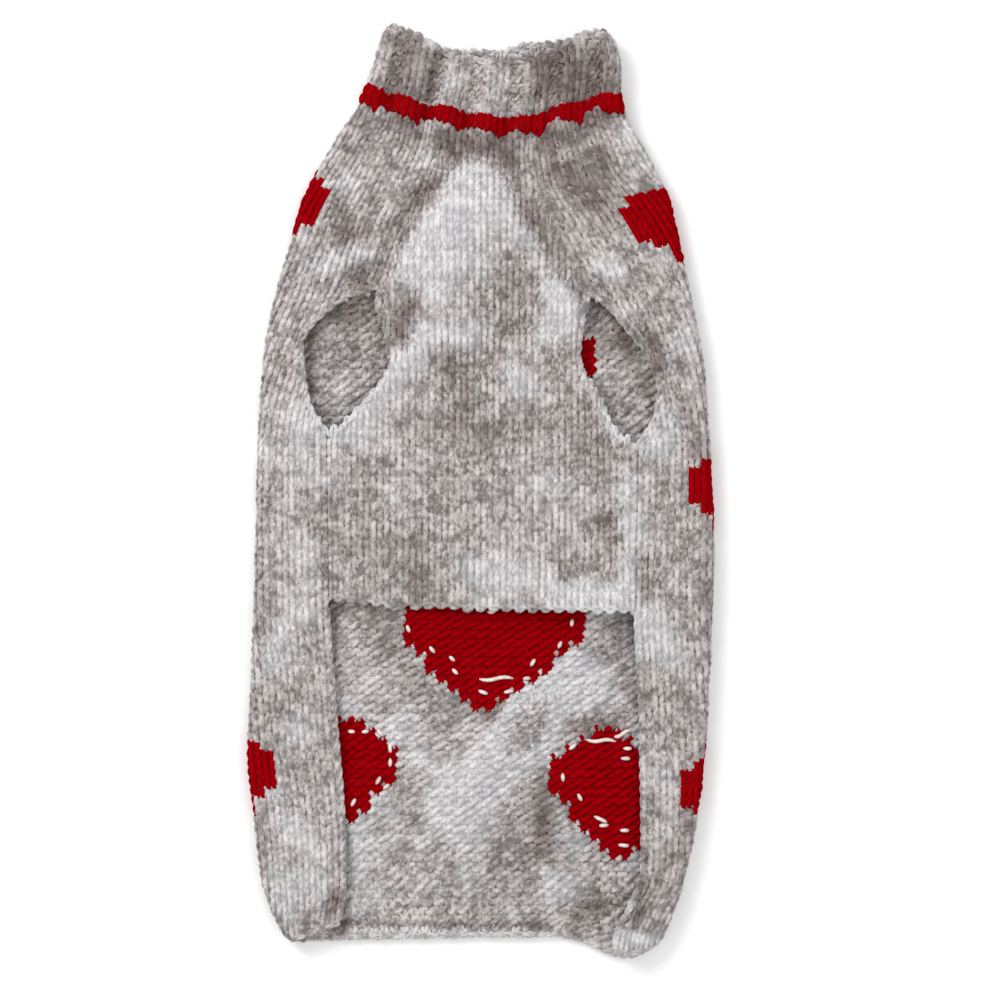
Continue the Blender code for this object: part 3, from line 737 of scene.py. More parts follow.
FULL_TONE = 0.0024            # a swell of this height is painted palest
BROAD_SHARE = 0.35            # the broad creases paint less light and shade than the slighter patches
UPPER_FROM = 1.6 * WALL       # higher than this is the upper layer
UNDER_TONE = 0.0010           # the swell painted palest on the side that lies underneath
UNDER_PALER = 0.3             # which has painted light over it as a whole
SIDE_SHADE = 0.35             # painted shade: browner at the side folds, within this reach
SIDE_REACH = 0.004
DEEPEST_TONE = -2.2
PALEST_TONE = 1.6


def relief_shading(points):
    """Painted light and shade: how far the cloth stands up (+) or sinks (-) at places, about -1 to
    1.
    """
    x, y, z = np.moveaxis(points, -1, 0)
    body = relief(PATCHES, x, y) + BROAD_SHARE * relief(CREASES, x, y)
    upper = np.where(y > NECK_Y, relief(COLLAR_CREASES, x, y), body) / FULL_TONE
    under = relief(UNDER_CREASES, x, y) / UNDER_TONE + UNDER_PALER
    side = bell(x - LEFT.outline(y), SIDE_REACH) + bell(x - RIGHT.outline(y), SIDE_REACH)
    swell = np.where(z > UPPER_FROM, upper, under) - SIDE_SHADE * side
    return np.clip(swell, DEEPEST_TONE, PALEST_TONE)


# A knitted piece: where a place of its cloth lies, which way its outside faces, and the small
# steps across and along that its directions are read from.
Piece = namedtuple("Piece", "place facing step_across step_along")
BACK = Piece(back_place, 1.0, 0.002, 0.0012)
BELLY = Piece(belly_place, -1.0, 0.0006, 0.0012)
COLLAR = Piece(collar_place, -1.0, 0.002, 0.03)


def frame_at(piece, across, along):
    """Place, outward normal and metres to a unit across, for many places of a piece."""
    here = piece.place(across, along)
    beside = piece.place(across + piece.step_across, along)
    ahead = piece.place(across, along + piece.step_along)
    normal = piece.facing * np.cross(ahead - here, beside - here)
    normal /= np.linalg.norm(normal, axis=-1, keepdims=True)
    scale = np.linalg.norm(beside - here, axis=-1) / piece.step_across
    return here, normal, scale


# ---- objects and meshes ----------------------------------------------------------------------
def add_object(name, data):
    made = bpy.data.objects.new(name, data)
    bpy.context.scene.collection.objects.link(made)
    return made


def new_mesh(name, corners, *face_sets):
    """A smooth mesh of corners and sets of faces, the faces of a set with as many corners each."""
    mesh = bpy.data.meshes.new(name)
    mesh.vertices.add(len(corners))
    mesh.vertices.foreach_set("co", corners.ravel())
    loops = np.concatenate([faces.ravel() for faces in face_sets])
    mesh.loops.add(len(loops))
    mesh.loops.foreach_set("vertex_index", loops.astype(np.int32))
    sizes = np.concatenate([np.full(len(faces), faces.shape[1]) for faces in face_sets])
    mesh.polygons.add(len(sizes))
    mesh.polygons.foreach_set("loop_start", (np.cumsum(sizes) - sizes).astype(np.int32))
    mesh.update(calc_edges=True)
    mesh.shade_smooth()
    return mesh


def add_mark(mesh, name, values):
    """A value at each corner, for the finishes to read."""
    layer = mesh.attributes.new(name, "FLOAT", "POINT")
    layer.data.foreach_set("value", values.astype(np.float32))


def add_map(mesh, name, u, v, cap_map):
    places = np.concatenate([np.stack([u, v], axis=-1).reshape(-1, 2), cap_map])
    mesh.uv_layers.new(name=name).uv.foreach_set("vector", places.ravel().astype(np.float32))


# ---- yarn ------------------------------------------------------------------------------------
MAP_UNITS = 100.0             # the map along the yarn is in centimetres
TILE_MARGIN = 0.06            # free border of each tile of the other map, as a share of the tile
CAP_RADIUS = 0.3              # the caps share the last tile, as a disc of this size
CAP_ON_YARN = 0.25            # and one place on the crest of a ply, on the map along the yarn


def lengths_along(path):
    """Metres run from the start of a path to each of its points."""
    return np.concatenate(([0.0], np.cumsum(np.linalg.norm(np.diff(path, axis=0), axis=1))))


class Skein:
    """Lengths of yarn that end up as one mesh."""

    def __init__(self):
        self.rings = []
        self.runs = []
        self.marks = []

    def lay(self, path, normal, half_width, half_thick, tone, exposed=1.0):
        """A length of yarn along a path, flattened towards the normals.

        Its tone is how light it is, and exposed is how near it comes to a face of the cloth.
        """
        tangent = np.gradient(path, axis=0)
        tangent /= np.linalg.norm(tangent, axis=1, keepdims=True)
        side = np.cross(tangent, normal)
        side /= np.linalg.norm(side, axis=1, keepdims=True)
        up = np.cross(side, tangent)
        turn = 2.0 * math.pi * np.arange(SIDES) / SIDES
        width = np.broadcast_to(half_width, len(path))[:, None, None]
        thick = np.broadcast_to(half_thick, len(path))[:, None, None]
        rings = path[:, None, :] + width * np.cos(turn)[None, :, None] * side[:, None, :]
        rings = rings + thick * np.sin(turn)[None, :, None] * up[:, None, :]
        marks = (tone, relief_shading(path), exposed)
        self.rings.append(rings)
        self.runs.append(lengths_along(path))
        self.marks.append(np.stack([np.broadcast_to(value, len(path)) for value in marks]))

    def faces(self):
        """The faces along all lengths, and the caps at their ends."""
        counts = np.array([len(rings) for rings in self.rings])
        starts = SIDES * (np.cumsum(counts) - counts)
        k = np.arange(SIDES)
        after = (k + 1) % SIDES
        quads = []
        for start, count in zip(starts, counts):
            ring = start + SIDES * np.arange(count - 1)[:, None]
            quad = (ring + k, ring + after, ring + SIDES + after, ring + SIDES + k)
            quads.append(np.stack(quad, axis=-1).reshape(-1, 4))
        first_caps = starts[:, None] + k[::-1]
        last_caps = (starts + SIDES * (counts - 1))[:, None] + k
        return np.concatenate(quads), np.concatenate([first_caps, last_caps])

    def add_maps(self, mesh, caps):
        """A map that runs along the yarn, and one with a tile of its own for each stitch."""
        k = np.arange(SIDES)
        along = np.concatenate([np.stack([run[:-1], run[1:]], axis=1) for run in self.runs])
        tall = len(along)
        u = np.broadcast_to(np.stack([k, k + 1, k + 1, k], axis=-1) / SIDES, (tall, SIDES, 4))
        v = np.broadcast_to(along[:, None, [0, 0, 1, 1]] * MAP_UNITS, (tall, SIDES, 4))
        add_map(mesh, "yarn", u, v, np.full((caps.size, 2), CAP_ON_YARN))

        grid = math.ceil(math.sqrt(tall / STEPS + 1))
        tile = np.arange(tall)[:, None, None] // STEPS
        low = (np.arange(tall) % STEPS) / STEPS
        rise = np.stack([low, low, low + 1.0 / STEPS, low + 1.0 / STEPS], axis=-1)
        rise = np.broadcast_to(rise[:, None, :], (tall, SIDES, 4))
        in_u = tile % grid + TILE_MARGIN + (1.0 - 2.0 * TILE_MARGIN) * u
        in_v = tile // grid + TILE_MARGIN + (1.0 - 2.0 * TILE_MARGIN) * rise
        circle = 2.0 * math.pi * k / SIDES
        disc = grid - 0.5 + CAP_RADIUS * np.stack([np.cos(circle), np.sin(circle)], axis=-1)
        add_map(mesh, "OFBake", in_u / grid, in_v / grid, np.tile(disc, (len(caps), 1)) / grid)

    def wind(self, name, material):
        """One mesh of all its lengths."""
        corners = np.concatenate([rings.reshape(-1, 3) for rings in self.rings]) + SHIFT
        quads, caps = self.faces()
        mesh = new_mesh(name, corners, quads, caps)
        self.add_maps(mesh, caps)
        marks = np.concatenate(self.marks, axis=1)
        for label, values in zip(("tone", "relief_shading", "exposed"), marks):
            add_mark(mesh, label, np.repeat(values, SIDES))
        mesh.materials.append(material)
        return add_object(name, mesh)


rng = np.random.default_rng(4)
skeins = {}


def skein(name):
    return skeins.setdefault(name, Skein())


def course(piece, edges, along, row, yarn_at, purl=None):
    """One course of loops, between the places that part its stitches.

    A loop's legs lie in its own row, its head in the next and its foot in the one before.
    yarn_at(stitch, rows up) names the skein there, and each run of one yarn is its own length.
    """
    stitches = len(edges) - 1
    number = np.arange(stitches + 1)
    middle = number[:-1] + 0.5
    height = piece.place(edges, np.full(stitches + 1, along))[:, 2]
    under = ease((FOLD_RADIUS - height) / (FOLD_RADIUS - 2.0 * MID))
    reach = blend(LOOP_REACH, INSIDE_REACH, under)
    reach = reach * (1.0 + rng.normal(0.0, REACH_SPREAD, stitches + 1))
    slant = blend(LOOP_SLANT, INSIDE_SLANT, under)
    wander = rng.normal(0.0, WANDER_SPREAD, stitches + 1)
    out = rng.normal(0.0, DEPTH_SPREAD, stitches + 1)
    tone = rng.normal(0.0, 1.0, 2 * stitches)
    lean = LOOP_LEAN * (1.0 + rng.normal(0.0, LEAN_SPREAD, stitches + 1))

    t = np.arange(stitches * STEPS + 1) / STEPS
    turn = 2.0 * math.pi * t
    on = np.interp(t + np.interp(t, number, lean) * np.sin(2.0 * turn), number, edges)
    rise = np.interp(t, number, wander) - np.interp(t, number, reach) * np.cos(turn)
    rise += np.interp(t, number, slant) * np.sin(2.0 * turn)
    here, normal, scale = frame_at(piece, on, along + row * rise)
    depth = -LOOP_DEPTH * np.cos(2.0 * turn)
    if purl is not None:
        corners = np.stack([middle - RIB_TURN, middle + RIB_TURN], axis=1).ravel()
        depth *= np.interp(t, corners, np.repeat(purl, 2))
    path = here + normal * (depth + np.interp(t, number, out))[:, None]
    width = YARN_WIDTH * np.interp(t, middle, np.diff(edges)) * scale
    width = np.clip(width, YARN_THINNEST, YARN_FATTEST)
    light = np.interp(t, np.arange(2 * stitches) / 2.0 + 0.25, tone)
    exposed = np.abs(np.cos(2.0 * turn))

    step = t[:-1] + 0.5 / STEPS
    stitch = step.astype(int)
    share = step - stitch
    rows_up = np.where((share > HEAD[0]) & (share < HEAD[1]), 1, 0)
    rows_up = np.where((share < FOOT) | (share > 1.0 - FOOT), -1, rows_up)
    names = [yarn_at(s, up) for s, up in zip(stitch, rows_up)]
    start = 0
    for end in range(1, len(names) + 1):
        if end == len(names) or names[end] != names[start]:
            part = slice(start, end + 1)
            skein(names[start]).lay(
                path[part], normal[part], width[part], YARN_THICK, light[part], exposed[part]
            )
            start = end


def course_edges(low, high, wale, first=0.0):
    """The places between stitches from low to high: whole wales, but for the two end ones."""
    start = math.ceil((low - first) / wale + LEAST_STITCH)
    stop = math.floor((high - first) / wale - LEAST_STITCH)
    inner = first + wale * np.arange(start, stop + 1)
    return np.concatenate(([low], inner, [high])), start - 1


def even_path(piece, across, along, step):
    """A line on a piece, with its points at even steps of its length."""
    run = lengths_along(piece.place(across, along))
    even = np.linspace(0.0, run[-1], max(3, int(run[-1] / step)))
    return np.interp(even, run, across), np.interp(even, run, along), even


# The edge of a piece: one strand's way over and back, its sway to either side and half the
# thickness of its yarn. The chain is a cast off, and an edge that only rolls has two strands.
Edging = namedtuple("Edging", "strands pitch sway yarn")
CHAIN = Edging(3, 0.0195, 0.00095, 0.00086)
ROLL = Edging(2, 0.0130, 0.00070, 0.00098)
CHAIN_DEPTH = 0.00045
EDGING_STEP = 0.0011
WOBBLE_STEP = 0.007           # the sway varies from place to place, this far apart
WOBBLE_END = 0.008            # and is set until this far past the end
WOBBLE_SPREAD = 0.1
STRAND_TONE_SPREAD = 0.5


def edging(name, piece, across, along, kind, size=1.0, lift=0.0):
    """An edging along a line of a piece."""
    across, along, run = even_path(piece, across, along, EDGING_STEP)
    here, normal, _ = frame_at(piece, across, along)
    tangent = np.gradient(here, axis=0)
    side = np.cross(tangent, normal)
    side /= np.linalg.norm(side, axis=1, keepdims=True)
    knots = np.arange(0.0, run[-1] + WOBBLE_END, WOBBLE_STEP)
    wobble = 1.0 + WOBBLE_SPREAD * np.interp(run, knots, rng.normal(0.0, 1.0, len(knots)))
    for strand in range(kind.strands):
        turn = 2.0 * math.pi * (run / kind.pitch + strand / kind.strands)
        sway = size * wobble * kind.sway * np.sin(turn)
        if kind is CHAIN:
            height = lift + size * CHAIN_DEPTH * np.sin(2.0 * turn)
        else:
            height = lift + size * wobble * kind.sway * np.cos(turn)
        path = here + side * sway[:, None] + normal * height[:, None]
        half_yarn = size * kind.yarn
        tone = rng.normal(0.0, STRAND_TONE_SPREAD)
        skein(name).lay(path, normal, half_yarn, half_yarn, tone)


# ---- hearts ----------------------------------------------------------------------------------
# The red stitches of each row from the point up, on either side of the middle: all but the
# nearest so many, out to so many.
HEART_ROWS = (
    (0, 1), (0, 2), (0, 3), (0, 4), (0, 5), (0, 5), (0, 6),
    (0, 7), (0, 7), (0, 7), (0, 7), (0, 6), (1, 5), (2, 4),
)
WIDE_ROW = 9                  # the row that a heart's place is given for
# That row's middle, on the side of the back that lies underneath, and how many rows the heart
# lacks at the top.
HEARTS = table(
    "x y lacks",
    (-0.0605, 0.1440, 0),
    (0.0790, 0.1410, 2),
    (0.0125, 0.0700, 0),
    (-0.0645, 0.0060, 0),
    (0.0850, 0.0060, 0),
    (0.0045, -0.0630, 0),
    (-0.0885, -0.1325, 0),
    (0.0825, -0.1395, 0),
)


def under_to_around(x, y):
    """Share of the way round the back for a place on the side that lies underneath."""
    strip_left, _, _, whole = back_lengths(y)
    return (strip_left + FOLD + x - fold_line(LEFT, y)) / whole


def heart_stitches():
    """The stitches of the back, as (wale, row), that are knitted in the red yarn."""
    red = set()
    for heart in HEARTS:
        middle = int(round(under_to_around(heart.x, heart.y) * WALES))
        lowest = int((heart.y - HEM_Y) / ROW) - WIDE_ROW
        for k, (gap, out) in enumerate(HEART_ROWS[:len(HEART_ROWS) - heart.lacks]):
            for wale in range(gap, out):
                red.add((middle + wale, lowest + k))
                red.add((middle - 1 - wale, lowest + k))
    return red


RED = heart_stitches()

# ---- knit the back, the belly piece and the collar -------------------------------------------
SEAM_INSET = -0.0001          # the courses reach this far past the seam's line
BACK_PARTS = ("hem", "waist", "chest", "shoulders")
FIRST_RISE = 0.32             # the first course lies this much higher, its feet inside the edge

for row in range(ROWS):
    y = HEM_Y + ROW * (row + 0.5 + FIRST_RISE * (row == 0))
    low, high = back_edges(y)
    inset = SEAM_INSET / back_lengths(y)[3]
    edges, first = course_edges(low + inset, high - inset, 1.0 / WALES)
    grey = f"back_{BACK_PARTS[row * len(BACK_PARTS) // ROWS]}_yarn"

    def back_yarn(stitch, up, first=first, row=row, grey=grey):
        return "hearts_yarn" if (first + stitch, row + up) in RED else grey

    course(BACK, edges, y, ROW, back_yarn)

for row in range(BELLY_ROWS):
    y = NECK_Y - ROW * (BELLY_ROWS - row - 0.5 - FIRST_RISE * (row == 0))
    low, high = belly_edge(LEFT, y) + SEAM_INSET, belly_edge(RIGHT, y) - SEAM_INSET
    edges, first = course_edges(low, high, BELLY_WALE)
    course(BELLY, edges, y, ROW, lambda stitch, up: "belly_yarn")

PURL_WIDTH = 0.80             # a purl stitch of the rib, as a share of an even one
KNIT_WIDTH = 2.0 - PURL_WIDTH
rib_steps = np.cumsum([0.0, KNIT_WIDTH, KNIT_WIDTH, PURL_WIDTH]) / 4.0
collar_edges = (np.arange(RIB_COUNT)[:, None] + rib_steps).ravel() - RIB_LEAD
collar_edges = np.append(collar_edges, RIB_COUNT - RIB_LEAD) / RIB_COUNT
collar_purl = np.where(np.arange(COLLAR_STITCHES) % 4 < 2, 1.0, -1.0)
for row in range(COLLAR_ROWS):

    def collar_yarn(stitch, up, row=row):
        return "stripe_yarn" if 0 <= row + up < STRIPE_ROWS else "collar_yarn"

    at = (row + 0.5) / COLLAR_ROWS
    course(COLLAR, collar_edges, at, 1.0 / COLLAR_ROWS, collar_yarn, collar_purl)

# ---- edges and seams -------------------------------------------------------------------------
ROUND_POINTS = 900            # points that an edging's line is read from
HOLE_POINTS = 700
SHORT_POINTS = 400

HEM_UP = 0.0012               # the hem's chain lies this far above the hem
HEM_END = 0.002               # and stops this share of the hem short of the seams
BELLY_HEM_UP = 0.0010
MOUTH_RISE = 0.985            # the collar's cast off, as a share of its height
STRIP_IN = 0.0006             # the strips' rolled edges lie this far inside the cloth
STRIP_SUNK = -0.0002
STRIP_FROM = 0.003            # from this far above the hem up to just below the belly's hem
BELOW_BELLY_HEM = 0.001
ROLL_SIZE = 0.95              # edgings as shares of their full size
BELLY_ROLL_SIZE = 0.9
MOUTH_CHAIN_SIZE = 0.95

around = np.linspace(HEM_END, 1.0 - HEM_END, ROUND_POINTS)
edging("back_hem_edging", BACK, around, np.full(ROUND_POINTS, HEM_Y + HEM_UP), CHAIN)
across = np.linspace(belly_edge(LEFT, BELLY_HEM_Y), belly_edge(RIGHT, BELLY_HEM_Y), SHORT_POINTS)
along = np.full(SHORT_POINTS, BELLY_HEM_Y + BELLY_HEM_UP)
edging("belly_edging", BELLY, across, along, ROLL, BELLY_ROLL_SIZE)
around = np.linspace(0.0, 1.0, ROUND_POINTS)
along = np.full(ROUND_POINTS, MOUTH_RISE)
edging("collar_edging", COLLAR, around, along, CHAIN, MOUTH_CHAIN_SIZE)

strip_y = np.linspace(HEM_Y + STRIP_FROM, BELLY_HEM_Y - BELOW_BELLY_HEM, SHORT_POINTS)
strip_in = STRIP_IN / back_lengths(strip_y)[3]
for around in (strip_in, 1.0 - strip_in):
    edging("back_hem_edging", BACK, around, strip_y, ROLL, ROLL_SIZE, STRIP_SUNK)

# From the bottom to the top of each leg hole's edging, and where the seam above it starts.
HOLE_SPANS = ((LEFT, 0.0285, 0.1045, 0.1050), (RIGHT, 0.0215, 0.1040, 0.1030))

for side, bottom, top, _ in HOLE_SPANS:
    line = hole_edge_on_back(side, np.linspace(bottom, top, HOLE_POINTS))
    edging("leg_hole_edging", BACK, *line, ROLL, ROLL_SIZE)
for side, bottom, top, _ in HOLE_SPANS:
    y = np.linspace(bottom, top, HOLE_POINTS)
    x = belly_edge(side, y) + side.turned * EDGE_IN
    edging("leg_hole_edging", BELLY, x, y, ROLL, ROLL_SIZE)

SEW_POINTS = 6                # points of sewing yarn a row
SEW_SWAY = 0.0013             # it goes this far to either side of the seam, and lies sunk
SEW_SUNK = 0.0003
SEW_WIDTH = 0.00105           # half the width and thickness of the sewing yarn
SEW_THICK = 0.00095
SEW_EXPOSED = 0.6
SEW_ABOVE_HEM = 0.002         # the sewing starts above the belly's hem and stops below the neck
SEW_BELOW_NECK = 0.001


def sewn_seam(seam, bottom, top):
    """Sewing yarn to and fro between the edges of two pieces, sunk in the seam."""
    y = np.arange(bottom, top, ROW / SEW_POINTS)
    x = seam(y) + SEW_SWAY * np.sin(math.pi * (y - bottom) / ROW)
    here, normal, _ = frame_at(BELLY, x, y)
    sunk = here - normal * SEW_SUNK
    skein("seam_yarn").lay(sunk, normal, SEW_WIDTH, SEW_THICK, 0.0, SEW_EXPOSED)


for side, hole_bottom, _, seam_bottom in HOLE_SPANS:
    sewn_seam(side.seam, BELLY_HEM_Y + SEW_ABOVE_HEM, hole_bottom)
    sewn_seam(side.seam, seam_bottom, NECK_Y - SEW_BELOW_NECK)

# ---- pale yarn carried behind the hearts -----------------------------------------------------
# Each a short length on the inside of the back: its middle, its length, and the way that it
# runs, in degrees from +X towards the neck.
FLOATS = table(
    "x y length turn",
    (-0.0365, -0.0680, 0.0032, 110),
    (-0.0245, -0.0785, 0.0034, 130),
    (-0.0145, -0.0830, 0.0028, 140),
    (-0.0130, -0.0895, 0.0030, 135),
    (0.0075, -0.0930, 0.0170, 1),
    (0.0010, -0.0998, 0.0042, -20),
    (0.0140, -0.0995, 0.0040, 10),
    (0.0260, -0.0850, 0.0036, 60),
    (0.0230, -0.0930, 0.0030, 5),
    (0.0395, -0.0760, 0.0030, 65),
    (0.0455, -0.0650, 0.0030, 85),
    (0.0050, -0.0595, 0.0032, 0),
    (-0.0650, -0.1195, 0.0028, 0),
    (-0.0580, -0.1195, 0.0028, 10),
    (-0.0505, -0.1200, 0.0034, 130),
    (-0.0455, -0.1280, 0.0036, 95),
    (-0.0455, -0.1350, 0.0034, 88),
    (-0.0515, -0.1440, 0.0038, 60),
    (-0.0475, -0.1470, 0.0030, 40),
    (-0.0640, -0.1550, 0.0036, 60),
    (0.0460, -0.1270, 0.0042, 40),
    (0.0600, -0.1240, 0.0150, -4),
    (0.0710, -0.1205, 0.0095, 18),
    (0.0410, -0.1425, 0.0034, 95),
    (0.0495, -0.1525, 0.0034, 120),
    (0.0600, -0.1635, 0.0066, -25),
    (0.0615, -0.1665, 0.0040, 5),
    (0.0720, -0.1690, 0.0040, 0),
    (0.0715, -0.1765, 0.0050, -5),
    (0.0735, -0.1280, 0.0036, 0),
    (0.0725, -0.1330, 0.0040, 0),
)
FLOAT_POINTS = 9
FLOAT_LIFT = 0.0019
FLOAT_DIP = 0.0016            # its ends dip this far below its middle, into the cloth
FLOAT_WIDTH = 0.00100         # half its width in the middle, and half of that at its ends
FLOAT_THICK = 0.0007
FLOAT_TONE = 0.4
LONG_FLOAT = 0.008            # a longer one lies in a slight curve
FLOAT_BEND = 0.0007


def lay_float(carried):
    """A short arch of pale yarn over the purl side of the back."""
    share = np.linspace(-0.5, 0.5, FLOAT_POINTS)
    turn = math.radians(carried.turn)
    x = carried.x + share * carried.length * math.cos(turn)
    y = carried.y + share * carried.length * math.sin(turn)
    y = y + FLOAT_BEND * np.sin(2.0 * math.pi * share) * (carried.length > LONG_FLOAT)
    here, normal, _ = frame_at(BACK, under_to_around(x, y), y)
    arch = FLOAT_LIFT - FLOAT_DIP * (2.0 * share) ** 4
    width = FLOAT_WIDTH * (1.0 - 0.5 * (2.0 * np.abs(share)) ** 4)
    path = here - normal * arch[:, None]
    skein("carried_yarn").lay(path, -normal, width, FLOAT_THICK, FLOAT_TONE)


for carried in FLOATS:
    lay_float(carried)


# ---- finishes --------------------------------------------------------------------------------
DRIFTS_TO_METRE = 60.0        # the size of each pattern, from broad drifts of tone to single hairs
CLOUDS_TO_METRE = 170.0
MATS_TO_METRE = 330.0
FIBRES_TO_METRE = 450.0
HAIRS_TO_METRE = 900.0
DRIFT_SPREAD = 2.8            # and how much each of them sways the tone
CLOUD_SPREAD = 4.6
FIBRE_SPREAD = 4.4
HAIR_SHARE = 0.40
FIBRE_HEIGHT = 0.7            # the fibres' height beside the ply's

# From the value where an effect starts to the value where it is full. PALE_SWELL and BROWN_HOLLOW
# give the painted light and shade of swells and hollows, CREST and NEAR_THE_FACE the painted shade
# between the strands.
PALE_SWELL = (-0.1, 1.3)
BROWN_HOLLOW = (0.2, -2.2)
PALE_PLY = (-1.5, 1.5)
HAIR = (0.58, 0.68)
CREST = (0.0, 0.95)
NEAR_THE_FACE = (-0.6, 0.8)
MATTED = (0.38, 0.62)

# Painted light screened over the swells, and painted shade multiplied into the hollows.
SWELL_LIGHT_TINT = (0.27, 0.28, 0.30, 1.0)
HOLLOW_SHADE_TINT = (0.37, 0.295, 0.27, 1.0)
# Painted shade multiplied in between the strands.
STRAND_SHADE_TINT = (0.16, 0.13, 0.12, 1.0)


def node(tree, kind, **settings):
    made = tree.nodes.new(kind)
    for name, value in settings.items():
        setattr(made, name, value)
    return made


def feed(tree, socket, source):
    """A number or colour is set on a socket, and another node's socket is linked to it."""
    if isinstance(source, bpy.types.NodeSocket):
        tree.links.new(source, socket)
    elif source is not None:
        socket.default_value = source


def wire(tree, target, *sources):
    """Feeds the inputs of a node in turn, and gives its first output."""
    for socket, source in zip(target.inputs, sources):
        feed(tree, socket, source)
    return target.outputs[0]


def maths(tree, operation, *sources):
    return wire(tree, node(tree, "ShaderNodeMath", operation=operation), *sources)


def soft_step(tree, value, low_high):
    """0 at the low value, easing to 1 at the high one."""
    mapped = node(tree, "ShaderNodeMapRange", interpolation_type="SMOOTHSTEP")
    return wire(tree, mapped, value, *low_high, 0.0, 1.0)


def tint(tree, blend_type, share, first, second):
    mixed = node(tree, "ShaderNodeMix", data_type="RGBA", blend_type=blend_type)
    for name, source in (("Factor", share), ("A", first), ("B", second)):
        feed(tree, [s for s in mixed.inputs if s.name == name and s.enabled][0], source)
    return [s for s in mixed.outputs if s.enabled][0]


def noise(tree, scale, detail=2.0, roughness=0.5):
    """Soft random values from 0 to 1, at so many to a metre of the cloth."""
    place = node(tree, "ShaderNodeTexCoord").outputs["Object"]
    made = node(tree, "ShaderNodeTexNoise", noise_dimensions="3D")
    return wire(tree, made, place, None, scale, detail, roughness)


def spread(tree, value, by):
    """A value from 0 to 1, spread out evenly about 0."""
    return maths(tree, "MULTIPLY_ADD", value, by, -0.5 * by)


def mark(tree, name):
    """The value that add_mark left on the mesh."""
    return node(tree, "ShaderNodeAttribute", attribute_name=name).outputs["Fac"]


def new_group(name, colours, amounts, gives):
    """A node group with named sockets: itself, what it is given, and the inputs of its end."""
    tree = bpy.data.node_groups.new(name, "ShaderNodeTree")
    sockets = [("INPUT", label, "NodeSocketColor") for label in colours]
    sockets += [("INPUT", label, "NodeSocketFloat") for label in amounts]
    sockets += [("OUTPUT", label, kind) for label, kind in gives.items()]
    for way, label, kind in sockets:
        tree.interface.new_socket(label, in_out=way, socket_type=kind)
    return tree, node(tree, "NodeGroupInput").outputs, node(tree, "NodeGroupOutput").inputs


def use_group(tree, group, *sources):
    made = node(tree, "ShaderNodeGroup", node_tree=group)
    wire(tree, made, *sources)
    return made.outputs


def swell_light_and_shade_group():
    """Painted light and shade: wool paler where the cloth stands up, browner where it sinks."""
    tree, given, result = new_group(
        "swell_light_and_shade", ("Colour",), ("Painted shading",), {"Colour": "NodeSocketColor"}
    )
    drifts = spread(tree, noise(tree, DRIFTS_TO_METRE), DRIFT_SPREAD)
    stand = maths(tree, "ADD", mark(tree, "relief_shading"), drifts)
    pale = maths(tree, "MULTIPLY", soft_step(tree, stand, PALE_SWELL), given["Painted shading"])
    brown = maths(tree, "MULTIPLY", soft_step(tree, stand, BROWN_HOLLOW), given["Painted shading"])
    colour = tint(tree, "SCREEN", pale, given["Colour"], SWELL_LIGHT_TINT)
    colour = tint(tree, "MULTIPLY", brown, colour, HOLLOW_SHADE_TINT)
    feed(tree, result["Colour"], colour)
    return tree


SWELL_LIGHT_AND_SHADE = swell_light_and_shade_group()


def spun_yarn_group():
    """Two twisted plies: their colours, the painted shade between the strands and the height."""
    tree, given, result = new_group(
        "spun_yarn",
        ("Pale ply", "Dark ply", "Fleck"),
        ("Twist", "Marl", "Depth shade", "Unevenness", "Painted shading"),
        {"Colour": "NodeSocketColor", "Height": "NodeSocketFloat"},
    )
    on_yarn = node(tree, "ShaderNodeUVMap", uv_map="yarn").outputs[0]
    split = node(tree, "ShaderNodeSeparateXYZ")
    wire(tree, split, on_yarn)
    u, v = split.outputs[0], split.outputs[1]

    # Two plies wind round each other.
    wound = maths(tree, "ADD", u, maths(tree, "MULTIPLY", v, given["Twist"]))
    ply = maths(tree, "SINE", maths(tree, "MULTIPLY", wound, 2.0 * math.pi))
    fibres = noise(tree, FIBRES_TO_METRE)
    clouds = noise(tree, CLOUDS_TO_METRE)
    marl = maths(tree, "MULTIPLY", ply, given["Marl"])
    marl = maths(tree, "ADD", marl, spread(tree, fibres, FIBRE_SPREAD))
    marl = maths(tree, "ADD", marl, spread(tree, clouds, CLOUD_SPREAD))
    uneven = maths(tree, "MULTIPLY", mark(tree, "tone"), given["Unevenness"])
    share = soft_step(tree, maths(tree, "ADD", marl, uneven), PALE_PLY)
    colour = tint(tree, "MIX", share, given["Dark ply"], given["Pale ply"])

    # Single dark and pale hairs.
    hairs = soft_step(tree, noise(tree, HAIRS_TO_METRE, detail=1.0), HAIR)
    hairs = maths(tree, "MULTIPLY", hairs, HAIR_SHARE)
    colour = tint(tree, "MIX", hairs, colour, given["Fleck"])

    # Painted shade: the strands are lightest on their crests and dark where they dive under each
    # other.
    crest = maths(tree, "ABSOLUTE", maths(tree, "SINE", maths(tree, "MULTIPLY", u, 2.0 * math.pi)))
    shown = soft_step(tree, mark(tree, "exposed"), NEAR_THE_FACE)
    lit = maths(tree, "MULTIPLY", soft_step(tree, crest, CREST), shown)
    shade = maths(tree, "MULTIPLY", maths(tree, "SUBTRACT", 1.0, lit), given["Depth shade"])
    colour = tint(tree, "MULTIPLY", shade, colour, STRAND_SHADE_TINT)

    tinted = use_group(tree, SWELL_LIGHT_AND_SHADE, colour, given["Painted shading"])
    feed(tree, result["Colour"], tinted["Colour"])
    groove = maths(tree, "ABSOLUTE", ply)
    feed(tree, result["Height"], maths(tree, "MULTIPLY_ADD", fibres, FIBRE_HEIGHT, groove))
    return tree


